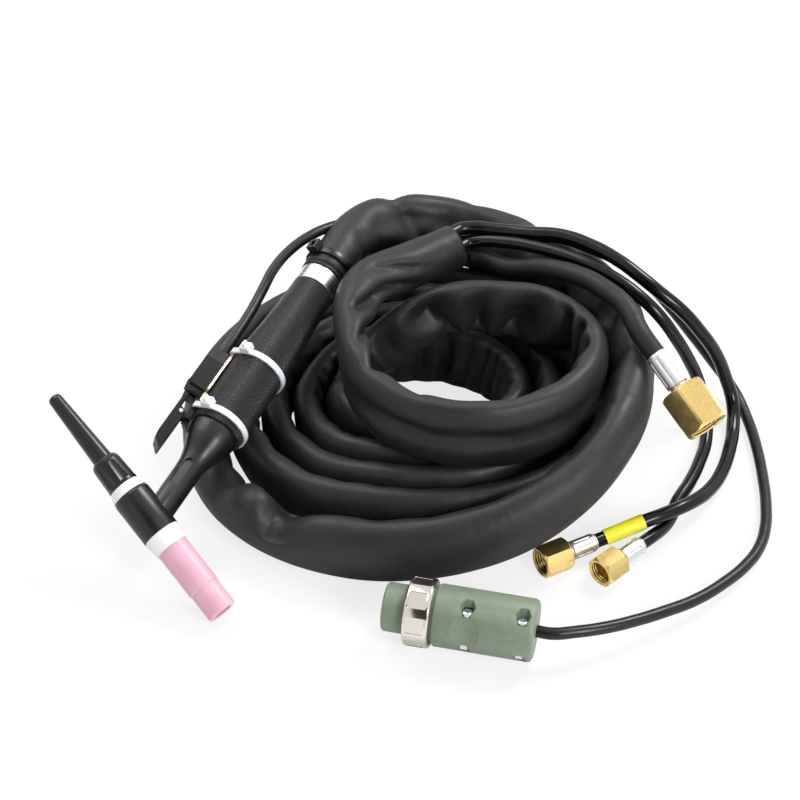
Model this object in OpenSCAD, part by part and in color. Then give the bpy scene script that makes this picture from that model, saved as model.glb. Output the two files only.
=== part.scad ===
// A water-cooled TIG welding torch: head, knurled handle with a lever switch,
// padded cover sleeve, two hoses, a power cable and a control lead with its plug.
// Millimetres, +Z up, floor at z = 0.

/* [Pose] */
// Turn of the handle about the vertical
torch_yaw = 62.3; // [55:0.1:70]
// Rise of the handle toward its rear end
torch_pitch = 11.3; // [5:0.1:18]
// Roll of the torch about the handle axis
torch_roll = -64; // [-90:1:-40]

/* [Head] */
// Angle between the nozzle and the handle
head_angle = 110; // [105:1:115]
// Diameter of the head barrel
barrel_d = 21.5; // [20.5:0.1:22.5]
// Barrel reach from the neck axis toward the nozzle
barrel_front = 8; // [7.5:0.1:9]
// Barrel reach from the neck axis toward the back cap
barrel_rear = 19.5; // [18.5:0.1:21]
// Length of the front insulating gasket
front_gasket_l = 9.5; // [9:0.1:11]
// Length of the rear insulating gasket
rear_gasket_l = 5.5; // [5:0.1:7]
// Diameter of the brass core inside the barrel
core_d = 16; // [15.6:0.1:17]

/* [Nozzle and collet] */
// Length of nozzle that shows in front of the gasket
nozzle_l = 44.5; // [36:0.5:52]
// Outside diameter of the nozzle body
nozzle_d = 18; // [17.4:0.1:18.6]
// Outside diameter at the nozzle mouth
mouth_d = 17; // [15:0.1:17.3]
// Bore of the nozzle mouth
mouth_bore_d = 11.2; // [8:0.1:12]
// Length of the tapered nozzle end
taper_l = 16; // [10:0.5:20]
// Length of nozzle seated in the gasket
seat_l = 3; // [2.5:0.1:3.5]
// Bore of the collet, for the electrode
electrode_d = 2.4; // [1.6:0.1:2.6]
// Diameter of the nozzle thread on the collet body
nozzle_thread_d = 13; // [12.4:0.1:13.4]

/* [Back cap] */
// Length of the fluted skirt
skirt_l = 19; // [17:0.5:22]
// Length of the slim tube behind the skirt
cap_tube_l = 45; // [30:1:60]
// Skirt diameter at the gasket
skirt_d = 18; // [17.4:0.1:18.6]
// Number of flutes around the skirt
flute_count = 6; // [4:1:8]

/* [Neck and handle] */
// Diameter of the neck
neck_d = 15; // [14.6:0.1:16]
// Distance from the head axis to the front rim of the grip
grip_front = 66.5; // [64:0.5:70]
// Length of the grip
grip_l = 114; // [108:1:120]
// Diameter of the grip at its front
grip_d = 32; // [31.4:0.1:33]
// Diameter of the grip at its rear
grip_rear_d = 26; // [25.6:0.1:27]
// Bore of the grip where it takes the head shell
spigot_d = 26; // [25:0.1:27]
// Length of the aluminium collar
collar_l = 11; // [9:0.5:13]
// Diameter of the aluminium collar
collar_d = 26.5; // [26:0.1:27.5]

/* [Switch] */
// Length of the switch housing
housing_l = 30; // [28:0.5:32]
// Width of the switch housing
housing_w = 11; // [10:0.1:13]
// Height of the switch housing above its plate
housing_h = 11.2; // [10:0.1:12]
// Length of the lever
lever_l = 38.6; // [36:0.2:41]
// Thickness of the lever
lever_t = 6.4; // [6:0.1:7]
// Diameter of the lever pin
lever_pin_d = 2.4; // [2:0.1:2.8]
// Width of the cable tie straps
strap_w = 3.6; // [3:0.1:4.5]
// Thickness of the cable tie straps
strap_t = 1.3; // [1.1:0.1:1.6]

/* [Cover sleeve] */
// Drop of the winding radius for each lap
lap_step = 19; // [18.9:0.1:19.5]
// Half thickness of the lying sleeve
sleeve_a = 8.8; // [8:0.1:8.8]
// Half height of the lying sleeve
sleeve_b = 22; // [21:0.1:22.2]
// Height of the top loop
top_z = 66.8; // [66.8:0.1:70]

/* [Leads] */
// Diameter of the first hose
hose_a_d = 8; // [7.5:0.1:8.2]
// Diameter of the second hose
hose_b_d = 7.6; // [7:0.1:7.8]
// Diameter of the power cable
power_d = 11.6; // [11:0.1:12]
// Diameter of the control lead
control_d = 6.6; // [6:0.1:6.8]
// Diameter of the switch cable on the handle
switch_cable_d = 6.2; // [5:0.1:6.4]
// Length of the marker band
marker_l = 23.5; // [18:0.5:28]

/* [Unions] */
// Width across flats of the hose nuts
nut_af = 17; // [16:0.5:18]
// Length of the hose nuts
nut_l = 17; // [15:0.5:19]
// Width across flats of the power nut
big_nut_af = 24; // [22:0.5:26]
// Length of the power nut
big_nut_l = 26; // [23:0.5:28]

/* [Plug] */
// Diameter of the plug body
plug_d = 33.4; // [32:0.2:35]
// Length of the plug body
plug_l = 53.5; // [50:0.5:58]
// Diameter of the plug nose
nose_d = 26.2; // [25:0.2:27]
// Diameter of the coupling ring
ring_d = 37; // [36:0.2:38]
// Width of the coupling ring
ring_w = 13.6; // [12.5:0.1:14]
// Recesses around the coupling ring
ring_recesses = 8; // [6:1:10]

/* [Hidden] */
$fn = 72;

run_gap = 0.05;
mouth_bore_l = 11.5;
head_tilt = head_angle - 90;

// heights along the head axis, counted from the neck axis toward the back cap
gasket_z = -barrel_front - front_gasket_l;
mouth_z = gasket_z - nozzle_l;
nozzle_top_z = gasket_z + seat_l;
cap_z = barrel_rear + rear_gasket_l;
skirt_top_z = cap_z + skirt_l;
cap_top_z = skirt_top_z + cap_tube_l;

core_r = core_d / 2;
core_bore_r = 5.2;
core_mid_r = 2.6;
cap_thread_r = 6;
collet_r = 2;
insert_r = 5;
boss_r = 6.8;
boss_l = 12;
tube_end = 84;
power_tube_at = [0, 4.2];
water_tube_at = [-3.4, -2.6];
gas_tube_at = [3.4, -2.6];
power_tube_r = 2.4;
water_tube_r = 2;
gas_tube_r = 1.7;
power_hose_r = 4.2;
side_hose_r = 3.2;

panel_turn = 20;
panel_x = [24.8, 38.6];
panel_r = 2.5;

grip_r = grip_d / 2;
grip_rear_r = grip_rear_d / 2;
spigot_r = spigot_d / 2;
grip_bore_r = 11;
grip_end = grip_front + grip_l;
collar_r = collar_d / 2;
ring_l = 2.6;
sleeve_start = grip_end + collar_l + ring_l;
sleeve_start_r = 14;

plate_v = grip_r + 0.1;
plate_t = 1.3;
plate_w = 8.6;
plate_x = 70.5;
plate_l = 47;
housing_x = 82;
housing_v = plate_v + plate_t;
housing_wall = 1.5;
pivot_x = 64;
pivot_v = 22.2;
ear_r = 2.4;
lever_v = pivot_v - ear_r;
lever_top = lever_v + lever_t;
lever_rear = housing_x - 6;
lever_tip = lever_rear - lever_l;
plunger_v = pivot_v - 2.5;
plunger_r = 1;
bracket_x = 62;
taper_x = 21;
cheek_t = 1.6;
cheek_gap = 3;
lever_w = 9.6;
flange_t = 1.5;
bracket_w = 10;
front_tie_x = 72;
rear_tie_x = 114.6;

nozzle_down = cos(head_angle) * sin(torch_pitch) - sin(head_angle) * cos(torch_roll) * cos(torch_pitch);
// flat ground off the mouth's outer edge
mouth_edge = 0.6;
torch_z = (mouth_z + mouth_edge) * nozzle_down + mouth_d / 2 * sqrt(1 - nozzle_down * nozzle_down);
// the middle of the torch's own box, in the layout that every place below is written in
layout_mid = [2.8, 0.8, 0];
torch_at = [-21.6, -69.4, torch_z] - layout_mid;
function laid(points) = [for (p = points) p - layout_mid];

function smooth(x) = let (c = min(1, max(0, x))) c * c * (3 - 2 * c);
function unit(v) = v / norm(v);

// ---- winding of the cover sleeve -------------------------------------------
laps_at = [124.5 - layout_mid[0], 43 - layout_mid[1]];
loop_at = [154 - layout_mid[0], 31 - layout_mid[1]];
first_r = 125.5;
wider = 12;
rings_per_lap = 24;
first_ring = 1;
last_ring = 140;
over_z = 65.6;
loop_rx = 67;
loop_ry = 63;
mouth_at = [143.5, 117.5, 82] - layout_mid;
mouth_yaw = 36;
mouth_way = [cos(mouth_yaw), sin(mouth_yaw), 0];
mouth_side = [sin(mouth_yaw), -cos(mouth_yaw), 0];
mouth_a = 13;
mouth_b = 14;

function dip(t) = let (f = t - floor(t)) t < 1.2 || t > 3.9 ? 0 : smooth((f - 0.52) / 0.1) * (1 - smooth((f - 0.78) / 0.12));
function lap_shift(t) = -3 - 10 * smooth((t - 0.06) / 0.16) + 13 * smooth((t - 0.24) / 0.15)
    + 4 * smooth((t - 0.34) / 0.12) + 5 * smooth((t - 0.5) / 0.12) * (1 - smooth((t - 0.64) / 0.1))
    - 4 * smooth((t - 0.76) / 0.22);
function sleeve_half(t) = let (
    stand = smooth((t - 0.74) / 0.2),
    low = smooth((t - 0.16) / 0.2),
    squash = smooth((t - 4.68) / 0.12) * (1 - smooth((t - 5.04) / 0.12)),
    open = smooth((t - 5.68) / 0.18),
    flop = 18 + 2 * smooth((t - 0.3) / 0.15) - 4.5 * smooth((t - 0.55) / 0.1),
    a = 12 + (sleeve_a - 12) * stand + low * (1 - stand),
    b = flop * (1 - stand) + (sleeve_b - 3.5 * dip(t)) * stand - 5 * squash)
    [a + (mouth_a - a) * open, b + (mouth_b - b) * open];
function sleeve_point(t) = let (
    drop = smooth((t - 0.27) / 0.28),
    climb = smooth((t - 4.76) / 0.3),
    over = smooth((t - 4.86) / 0.4),
    lift = smooth((t - 5.66) / 0.2),
    r = first_r - lap_step * t + lap_shift(t),
    rx = (r + wider) * (1 - over) + loop_rx * over + 24 * smooth((t - 5.72) / 0.27),
    ry = r * (1 - over) + loop_ry * over + 24 * smooth((t - 5.72) / 0.27),
    c = laps_at * (1 - over) + loop_at * over,
    half = sleeve_half(t),
    z = (over_z + (half[1] - over_z) * drop) * (1 - climb) + (top_z + 17 * lift) * climb)
    [c[0] + rx * cos(90 - 360 * t), c[1] + ry * sin(90 - 360 * t), z];
function sleeve_heading(t) = unit(sleeve_point(t + 0.004) - sleeve_point(t - 0.004));
function bow(a, b, c, d, u) = pow(1 - u, 3) * a + 3 * pow(1 - u, 2) * u * b + 3 * (1 - u) * u * u * c + u * u * u * d;

function turn_x(v, a) = [v[0], v[1] * cos(a) - v[2] * sin(a), v[1] * sin(a) + v[2] * cos(a)];
function turn_y(v, a) = [v[0] * cos(a) + v[2] * sin(a), v[1], v[2] * cos(a) - v[0] * sin(a)];
function turn_z(v, a) = [v[0] * cos(a) - v[1] * sin(a), v[0] * sin(a) + v[1] * cos(a), v[2]];
function posed(v) = torch_at + turn_z(turn_y(turn_x(v, torch_roll), -torch_pitch), torch_yaw);

handle_way = unit(posed([1, 0, 0]) - torch_at);
sleeve_from = posed([sleeve_start, 0, 0]);
lap_from = sleeve_point(first_ring / rings_per_lap);
lap_way = sleeve_heading(first_ring / rings_per_lap);
loop_to = sleeve_point(last_ring / rings_per_lap);
loop_way = sleeve_heading(last_ring / rings_per_lap);
straight = 30;

sleeve_path = concat(
    [for (i = [0:2]) sleeve_from + handle_way * straight * i / 2],
    [for (i = [1:5]) bow(sleeve_from + handle_way * straight, sleeve_from + handle_way * (straight + 24),
        lap_from - lap_way * 36, lap_from, i / 6)],
    [for (i = [first_ring:last_ring]) sleeve_point(i / rings_per_lap)],
    [for (i = [1:5]) bow(loop_to, loop_to + loop_way * 20, mouth_at - mouth_way * 44, mouth_at - mouth_way * 26, i / 6)],
    [for (i = [2:-1:0]) mouth_at - mouth_way * 13 * i]);
lap_half = sleeve_half(first_ring / rings_per_lap);
loop_half = sleeve_half(last_ring / rings_per_lap);
sleeve_halves = concat(
    [for (i = [0:2]) [sleeve_start_r, sleeve_start_r]],
    [for (i = [1:5]) [sleeve_start_r, sleeve_start_r] * (1 - smooth(i / 6)) + lap_half * smooth(i / 6)],
    [for (i = [first_ring:last_ring]) sleeve_half(i / rings_per_lap)],
    [for (i = [1:5]) loop_half * (1 - i / 6) + [mouth_a, mouth_b] * i / 6],
    [for (i = [0:2]) [mouth_a, mouth_b]]);

function side_at(way) = unit(cross(way, [0, 0, 1]));
function way_at(path, i) = let (n = len(path) - 1)
    unit(path[min(n, i + 1)] - path[max(0, i - 1)]);
function ring_at(path, halves, i, sides) = let (
    way = way_at(path, i),
    side = side_at(way),
    rise = cross(side, way),
    flat = cos(180 / sides))
    [for (k = [0:sides - 1]) path[i] + side * halves[i][0] * cos(360 * k / sides)
        + rise * halves[i][1] / flat * sin(360 * k / sides)];

// least gap between two stretches of the sleeve, each the hull of two rings
function span(path, halves, i) = concat(ring_at(path, halves, i, 6), ring_at(path, halves, i + 1, 6));
function parted(one, two, way) = min([for (p = two) p * way]) - max([for (p = one) p * way]);
function span_gap(path, halves, i, j) = let (
    one = span(path, halves, i),
    two = span(path, halves, j),
    d = path[j] + path[j + 1] - path[i] - path[i + 1],
    levels = [unit([d[0], d[1], 0]), side_at(path[i + 1] - path[i]), side_at(path[j + 1] - path[j]),
        side_at(path[i + 2] - path[i]), side_at(path[j + 1] - path[j - 1])])
    max([for (way = levels, a = [-90:10:270]) parted(one, two, way * cos(a) + [0, 0, sin(a)])]);
function least_gap(path, halves) = min([for (i = [0:len(path) - 8]) for (j = [i + 6:1:len(path) - 2])
    if (norm(path[i] - path[j]) < 46) span_gap(path, halves, i, j)]);

module tube(path, halves, sides) {
    n = len(path);
    points = [for (i = [0:n - 1]) each ring_at(path, halves, i, sides)];
    walls = [for (i = [0:n - 2], k = [0:sides - 1]) let (m = (k + 1) % sides, a = i * sides, b = a + sides)
        each [[a + k, a + m, b + m], [a + k, b + m, b + k]]];
    first = [for (k = [1:sides - 2]) [0, k + 1, k]];
    last = [for (k = [1:sides - 2]) [(n - 1) * sides, (n - 1) * sides + k, (n - 1) * sides + k + 1]];
    polyhedron(points, concat(walls, first, last));
}

module cord(path, d, sides) {
    r = d / 2;
    tube(path, [for (p = path) [r, r * cos(180 / sides)]], sides);
}

// ---- placing ---------------------------------------------------------------
module torch_pose() {
    translate(torch_at) rotate([torch_roll, -torch_pitch, torch_yaw]) children();
}

module on_head() {
    torch_pose() rotate([0, head_tilt, 0]) children();
}

module along_x() {
    rotate([0, 90, 0]) children();
}

module along_handle() {
    torch_pose() along_x() children();
}

// ---- head ------------------------------------------------------------------
module nozzle() {
    color([0.9, 0.62, 0.68]) on_head() rotate_extrude() polygon([
        [mouth_bore_d / 2, mouth_z], [mouth_d / 2 - mouth_edge, mouth_z], [mouth_d / 2, mouth_z + mouth_edge],
        [nozzle_d / 2 - 0.5, mouth_z + taper_l], [nozzle_d / 2, mouth_z + taper_l + 1],
        [nozzle_d / 2, gasket_z - 0.1], [nozzle_d / 2 - 1, gasket_z - 0.1], [nozzle_d / 2 - 1, nozzle_top_z],
        [nozzle_thread_d / 2 + run_gap, nozzle_top_z], [nozzle_thread_d / 2 + run_gap, nozzle_top_z - 14],
        [mouth_bore_d / 2, mouth_z + mouth_bore_l]]);
}

module front_gasket() {
    color([0.94, 0.94, 0.93]) on_head() rotate_extrude() polygon([
        [nozzle_d / 2 - 0.9, gasket_z], [9.6, gasket_z], [10.5, -barrel_front - 1.2], [10.5, -barrel_front],
        [core_bore_r + 0.05, -barrel_front], [core_bore_r + 0.05, nozzle_top_z + 0.1],
        [nozzle_d / 2 - 0.9, nozzle_top_z + 0.1]]);
}

module shell_barrel() {
    rotate([0, head_tilt, 0]) rotate_extrude() union() {
        translate([0, -barrel_front]) square([barrel_d / 2, barrel_front + barrel_rear - 2]);
        square([barrel_d / 2 - 2, barrel_rear]);
        translate([barrel_d / 2 - 2, barrel_rear - 2]) circle(r = 2, $fn = 32);
    }
}

module shell_neck() {
    along_x() rotate_extrude() polygon([
        [0, 0], [neck_d / 2, 0], [neck_d / 2, 35], [neck_d / 2 + 0.3, 41], [8.7, 45.5], [10, 49.5], [11.6, 53.5],
        [12.9, 57.5], [13.7, 61.5], [14.1, grip_front - 1.5], [14.1, grip_front], [spigot_r, grip_front],
        [spigot_r, grip_front + 13.5], [10, grip_front + 13.5], [10, grip_front + 4], [0, grip_front + 4]]);
}

module tube_at(spot, r, from, to) {
    along_x() translate([-spot[1], spot[0], from]) cylinder(r = r, h = to - from);
}

module head_shell() {
    color([0.09, 0.09, 0.09]) torch_pose() difference() {
        union() {
            shell_barrel();
            shell_neck();
        }
        rotate([0, head_tilt, 0]) translate([0, 0, -barrel_front - 1])
            cylinder(r = core_r, h = barrel_front + barrel_rear + 2);
        along_x() cylinder(r = boss_r, h = boss_l);
        tube_at(power_tube_at, power_tube_r, boss_l - 1, grip_front + 5);
        tube_at(water_tube_at, water_tube_r, boss_l - 1, grip_front + 5);
        tube_at(gas_tube_at, gas_tube_r, boss_l - 1, grip_front + 5);
        // blank oval panel on the side of the neck
        rotate([-panel_turn, 0, 0]) {
            for (x = panel_x) translate([x, -neck_d / 2 - 1, 0]) rotate([-90, 0, 0]) cylinder(r = panel_r, h = 1.9);
            translate([panel_x[0], -neck_d / 2 - 1, -panel_r]) cube([panel_x[1] - panel_x[0], 1.9, 2 * panel_r]);
        }
    }
}

module head_core() {
    color([0.8, 0.62, 0.3]) torch_pose() difference() {
        union() {
            rotate([0, head_tilt, 0]) translate([0, 0, -barrel_front])
                cylinder(r = core_r, h = barrel_front + barrel_rear);
            along_x() cylinder(r = boss_r, h = boss_l);
        }
        rotate([0, head_tilt, 0]) {
            translate([0, 0, -barrel_front - 1]) cylinder(r = core_bore_r, h = barrel_front + 4);
            translate([0, 0, 2]) cylinder(r = core_mid_r, h = 12);
            translate([0, 0, 8]) cylinder(r = cap_thread_r, h = barrel_rear);
        }
    }
}

module power_tube() {
    color([0.75, 0.45, 0.3]) torch_pose() difference() {
        tube_at(power_tube_at, power_tube_r, boss_l, tube_end);
        tube_at(power_tube_at, power_tube_r - 0.8, boss_l + 2, tube_end + 1);
    }
}

module water_tube() {
    color([0.75, 0.45, 0.3]) torch_pose() difference() {
        tube_at(water_tube_at, water_tube_r, boss_l, tube_end);
        tube_at(water_tube_at, water_tube_r - 0.7, boss_l + 2, tube_end + 1);
    }
}

module gas_tube() {
    color([0.75, 0.45, 0.3]) torch_pose() difference() {
        tube_at(gas_tube_at, gas_tube_r, boss_l, tube_end);
        tube_at(gas_tube_at, gas_tube_r - 0.6, boss_l + 2, tube_end + 1);
    }
}

module collet_body() {
    thread_z = nozzle_top_z - 14;
    tip_z = mouth_z + 12;
    color([0.76, 0.5, 0.32]) on_head() difference() {
        rotate_extrude() polygon([
            [electrode_d / 2 + 0.1, tip_z], [3.2, tip_z], [4.6, tip_z + 4], [4.6, thread_z - 1.5],
            [nozzle_thread_d / 2, thread_z], [nozzle_thread_d / 2, nozzle_top_z],
            [core_bore_r - run_gap, nozzle_top_z], [core_bore_r - run_gap, 2.6],
            [collet_r + run_gap, 2.6], [collet_r + run_gap, tip_z + 5.5], [electrode_d / 2 + 0.1, tip_z + 4]]);
        for (a = [0:90:270]) rotate([0, 0, a + 45]) translate([0, 0, thread_z - 7]) rotate([0, 90, 0])
            cylinder(d = 1.8, h = 6, $fn = 24);
    }
}

module collet() {
    tip_z = mouth_z + 12;
    color([0.8, 0.52, 0.34]) on_head() difference() {
        rotate_extrude() polygon([
            [electrode_d / 2, tip_z + 4.5], [1.45, tip_z + 4.5], [collet_r, tip_z + 5.6],
            [collet_r, 8.4], [electrode_d / 2, 8.4]]);
        translate([-3, -0.15, tip_z + 4]) cube([6, 0.3, 14]);
    }
}

module rear_gasket() {
    color([0.94, 0.94, 0.93]) on_head() rotate_extrude() polygon([
        [cap_thread_r + 0.3, barrel_rear], [10.5, barrel_rear], [10.5, barrel_rear + 1], [8.8, cap_z],
        [7.3, cap_z], [7.3, cap_z - 3.4], [cap_thread_r + 0.3, cap_z - 3.4]]);
}

module cap_insert() {
    color([0.8, 0.62, 0.3]) on_head() rotate_extrude() polygon([
        [collet_r + 0.1, 8.8], [cap_thread_r - run_gap, 8.8], [cap_thread_r - run_gap, cap_z - 3],
        [5.3, cap_z - 2.8], [5.3, cap_z - 0.9], [cap_thread_r - run_gap, cap_z - 0.7],
        [cap_thread_r - run_gap, cap_z - 0.05], [insert_r, cap_z - 0.05], [insert_r, cap_z + 11],
        [collet_r + 0.1, cap_z + 11]]);
}

module cap_o_ring() {
    color([0.45, 0.1, 0.06]) on_head() translate([0, 0, cap_z - 1.85]) rotate_extrude()
        translate([6.2, 0]) circle(r = 0.9, $fn = 32);
}

module cap_outline() {
    polygon([
        [insert_r + run_gap, cap_z], [skirt_d / 2 - 0.4, cap_z], [skirt_d / 2, cap_z + 0.5],
        [skirt_d / 2 - 0.7, skirt_top_z - 3.5], [7.9, skirt_top_z - 1.8], [6.9, skirt_top_z - 0.5],
        [5.7, skirt_top_z], [3.95, cap_top_z - 2.2], [3.4, cap_top_z - 0.8], [2.2, cap_top_z], [0, cap_top_z],
        [0, cap_top_z - 4], [collet_r + 0.2, cap_top_z - 5], [collet_r + 0.2, cap_z + 11.1],
        [insert_r + run_gap, cap_z + 11.1]]);
}

module back_cap() {
    color([0.07, 0.07, 0.07]) on_head() difference() {
        rotate_extrude() cap_outline();
        for (i = [0:flute_count - 1]) rotate([0, 0, 360 * i / flute_count + 30]) {
            translate([17.6, 0, cap_z + 2]) cylinder(r = 9.6, h = skirt_l - 6.4);
            translate([17.6, 0, skirt_top_z - 4.4]) cylinder(r1 = 9.6, r2 = 8.2, h = 2.4);
        }
    }
}

// ---- handle ----------------------------------------------------------------
module grip_outline() {
    polygon([
        [spigot_r, grip_front], [grip_r - 0.8, grip_front], [grip_r - 0.2, grip_front + 0.6],
        [grip_r - 0.2, grip_front + 3], [grip_r, grip_front + 3.4], [grip_r, grip_front + 48],
        [grip_r - 0.6, grip_front + 62], [14.1, grip_front + 80], [13.5, grip_front + 94],
        [grip_rear_r, grip_front + 108], [grip_rear_r, grip_end - 0.8], [grip_rear_r - 0.6, grip_end],
        [grip_bore_r, grip_end], [grip_bore_r, grip_front + 15], [spigot_r, grip_front + 14]]);
}

module grip() {
    color([0.12, 0.12, 0.12]) along_handle() {
        rotate_extrude() grip_outline();
        // mould seam along the near side
        translate([-0.2, -grip_r + 0.02, grip_front + 3.6]) cube([0.4, 0.5, 44]);
    }
}

module collar() {
    color([0.8, 0.8, 0.82]) along_handle() rotate_extrude() polygon([
        [10.2, grip_end - 9], [grip_bore_r, grip_end - 9], [grip_bore_r, grip_end], [collar_r - 0.4, grip_end],
        [collar_r, grip_end + 0.4], [collar_r, grip_end + collar_l - 0.4], [collar_r - 0.4, grip_end + collar_l],
        [10.2, grip_end + collar_l]]);
}

module collar_ring() {
    color([0.08, 0.08, 0.08]) along_handle() rotate_extrude() polygon([
        [10.2, grip_end + collar_l], [collar_r + 0.1, grip_end + collar_l], [collar_r + 0.6, grip_end + collar_l + 0.5],
        [collar_r + 0.6, sleeve_start - 0.5], [collar_r + 0.1, sleeve_start], [10.2, sleeve_start]]);
}

module hose_piece(spot, r, bore) {
    difference() {
        tube_at(spot, r, tube_end - 12, sleeve_start);
        tube_at(spot, bore, tube_end - 13, sleeve_start + 1);
    }
}

module inner_power_hose() {
    color([0.1, 0.1, 0.1]) torch_pose() hose_piece(power_tube_at, power_hose_r, power_tube_r);
}

module inner_water_hose() {
    color([0.1, 0.1, 0.1]) torch_pose() hose_piece(water_tube_at, side_hose_r, water_tube_r);
}

module inner_gas_hose() {
    color([0.1, 0.1, 0.1]) torch_pose() hose_piece(gas_tube_at, side_hose_r, gas_tube_r);
}

// ---- switch ----------------------------------------------------------------
module switch_base_plate() {
    wide = housing_w / 2 + 0.6;
    color([0.78, 0.68, 0.42]) torch_pose() difference() {
        union() {
            translate([plate_x, -plate_w / 2, plate_v]) cube([plate_l, plate_w, plate_t]);
            translate([housing_x, 0, plate_v]) linear_extrude(plate_t) polygon([
                [3, -wide], [taper_x, -wide], [housing_l - 1, -plate_w / 2], [housing_l - 1, plate_w / 2],
                [taper_x, wide], [3, wide]]);
            for (s = [-1, 1]) translate([housing_x + 2.6, s * 5.2, plate_v]) cylinder(r = 1.5, h = plate_t, $fn = 32);
        }
        for (s = [-1, 1]) translate([housing_x + 2.6, s * 5.2, plate_v - 1]) cylinder(r = 0.7, h = 4, $fn = 24);
    }
}

// block that the strap lies across, two cheeks for the pin and a tail that hooks over the front rim
module switch_bracket() {
    half = bracket_w / 2;
    color([0.08, 0.08, 0.08]) torch_pose() difference() {
        union() {
            translate([bracket_x, -half, plate_v - 2]) cube([lever_rear + 0.3 - bracket_x, bracket_w, plate_t + 2]);
            translate([bracket_x, -half, housing_v]) cube([front_tie_x - 2.1 - bracket_x, bracket_w, 1.6]);
            for (s = [-1, 1]) translate([front_tie_x + 2.2, s * (half - 0.8) - 0.8, housing_v - 0.1])
                cube([lever_rear + 0.3 - front_tie_x - 2.2, 1.6, 2.2]);
            for (s = [-1, 1]) translate([0, s * (cheek_gap + cheek_t) / 2 + cheek_t / 2, 0]) rotate([90, 0, 0]) {
                translate([pivot_x, pivot_v, 0]) cylinder(r = 1.8, h = cheek_t, $fn = 32);
                translate([pivot_x - 1.8, housing_v + 1, 0]) cube([3.6, pivot_v - housing_v - 1, cheek_t]);
            }
            translate([0, 2.6, 0]) rotate([90, 0, 0]) linear_extrude(5.2) polygon([
                [bracket_x, housing_v + 1.6], [grip_front - 0.1, housing_v], [grip_front - 0.1, grip_r + 0.1],
                [64.5, grip_r + 0.1], [58.5, 13.6], [57, 13.9], [59.5, 17]]);
        }
        along_x() translate([0, 0, bracket_x - 0.01]) cylinder(r = grip_r + 0.05, h = 20);
        translate([plate_x, -plate_w / 2 - 0.01, plate_v - 3]) cube([12, plate_w + 0.02, plate_t + 3]);
        translate([pivot_x, 10, pivot_v]) rotate([90, 0, 0]) cylinder(d = lever_pin_d, h = 20, $fn = 32);
    }
}

module housing_body() {
    translate([0, 0, housing_v]) {
        translate([housing_x, 0, 0]) linear_extrude(housing_h) polygon([
            [0, -housing_w / 2], [taper_x, -housing_w / 2], [housing_l, -3.2], [housing_l, 3.2],
            [taper_x, housing_w / 2], [0, housing_w / 2]]);
        translate([housing_x, -housing_w / 2 - 0.4, 0]) cube([1.4, housing_w + 0.8, housing_h + 0.4]);
        translate([housing_x - 5.4, -housing_w / 2 + 0.8, 0]) cube([6, housing_w - 1.6, housing_h - 1.4]);
    }
}

module switch_housing() {
    color([0.08, 0.08, 0.09]) torch_pose() difference() {
        housing_body();
        translate([housing_x + 0.5, -housing_w / 2 + housing_wall, housing_v - 1])
            cube([housing_l - 8, housing_w - 2 * housing_wall, housing_h - housing_wall + 1]);
        translate([housing_x - 6, 0, plunger_v]) along_x() cylinder(r = plunger_r + run_gap, h = 8, $fn = 32);
        translate([housing_x + housing_l - 9, 0, housing_v + 4.6]) along_x() cylinder(r = 1.9, h = 12, $fn = 32);
    }
}

module micro_switch() {
    color([0.2, 0.2, 0.22]) torch_pose() {
        translate([housing_x + 4, -3.6, housing_v + 0.2]) cube([15, 7.2, 7.4]);
        for (x = [7, 11.5, 16]) translate([housing_x + x, -0.4, housing_v + 7.6]) cube([1, 0.8, 1.4]);
    }
}

module switch_plunger() {
    color([0.75, 0.75, 0.75]) torch_pose() translate([lever_rear + 0.3, 0, plunger_v]) along_x() {
        cylinder(r = plunger_r, h = 9, $fn = 32);
        translate([0, 0, 7.2]) cylinder(r = plunger_r + 0.5, h = 1.4, $fn = 32);
    }
}

module lever_outline() {
    polygon(concat([
        [lever_tip, lever_v + 0.6], [lever_tip + 1, lever_v], [pivot_x, lever_v]],
        [for (a = [-75:15:0]) [pivot_x, pivot_v] + ear_r * [cos(a), sin(a)]], [
        [pivot_x + 3.2, lever_top - 2], [lever_rear, lever_top - 2], [lever_rear, lever_top],
        [lever_tip + 8.6, lever_top], [lever_tip + 4.2, lever_top - 1.6], [lever_tip + 3, lever_top - 2.8]]));
}

// channel open below, closed at its rear by the heel that pushes the plunger
module switch_lever() {
    inside = lever_w - 2 * flange_t;
    color([0.05, 0.05, 0.05]) torch_pose() {
        difference() {
            translate([0, lever_w / 2, 0]) rotate([90, 0, 0]) linear_extrude(lever_w) lever_outline();
            translate([lever_tip + 6, -inside / 2, lever_v - 1]) cube([lever_l, inside, lever_t - 0.6]);
            translate([pivot_x, 10, pivot_v]) rotate([90, 0, 0])
                cylinder(d = lever_pin_d + 2 * run_gap, h = 20, $fn = 32);
        }
        translate([lever_rear - 1.6, -inside / 2, housing_v + 1.6]) cube([1.6, inside, lever_top - housing_v - 2]);
    }
}

module lever_pin() {
    color([0.8, 0.8, 0.8]) torch_pose() translate([pivot_x, lever_w / 2 + 0.4, pivot_v])
        rotate([90, 0, 0]) cylinder(d = lever_pin_d, h = lever_w + 0.8, $fn = 32);
}

// a strap around the grip with a step where it crosses a raised plate
function strap_line(r, w, v) = let (
    d = norm([w, v]),
    a = atan(w / v) + acos(r / d))
    [[-v, -w], [-r * cos(a), -r * sin(a)], [-r * cos(a), r * sin(a)], [-v, w]];
module strap_ring(r, step_w, step_v) {
    difference() {
        union() {
            circle(r = r + strap_t);
            polygon(strap_line(r + strap_t, step_w / 2 + strap_t / 2, step_v + strap_t));
        }
        circle(r = r);
        polygon(strap_line(r, step_w / 2, step_v));
    }
}

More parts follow.
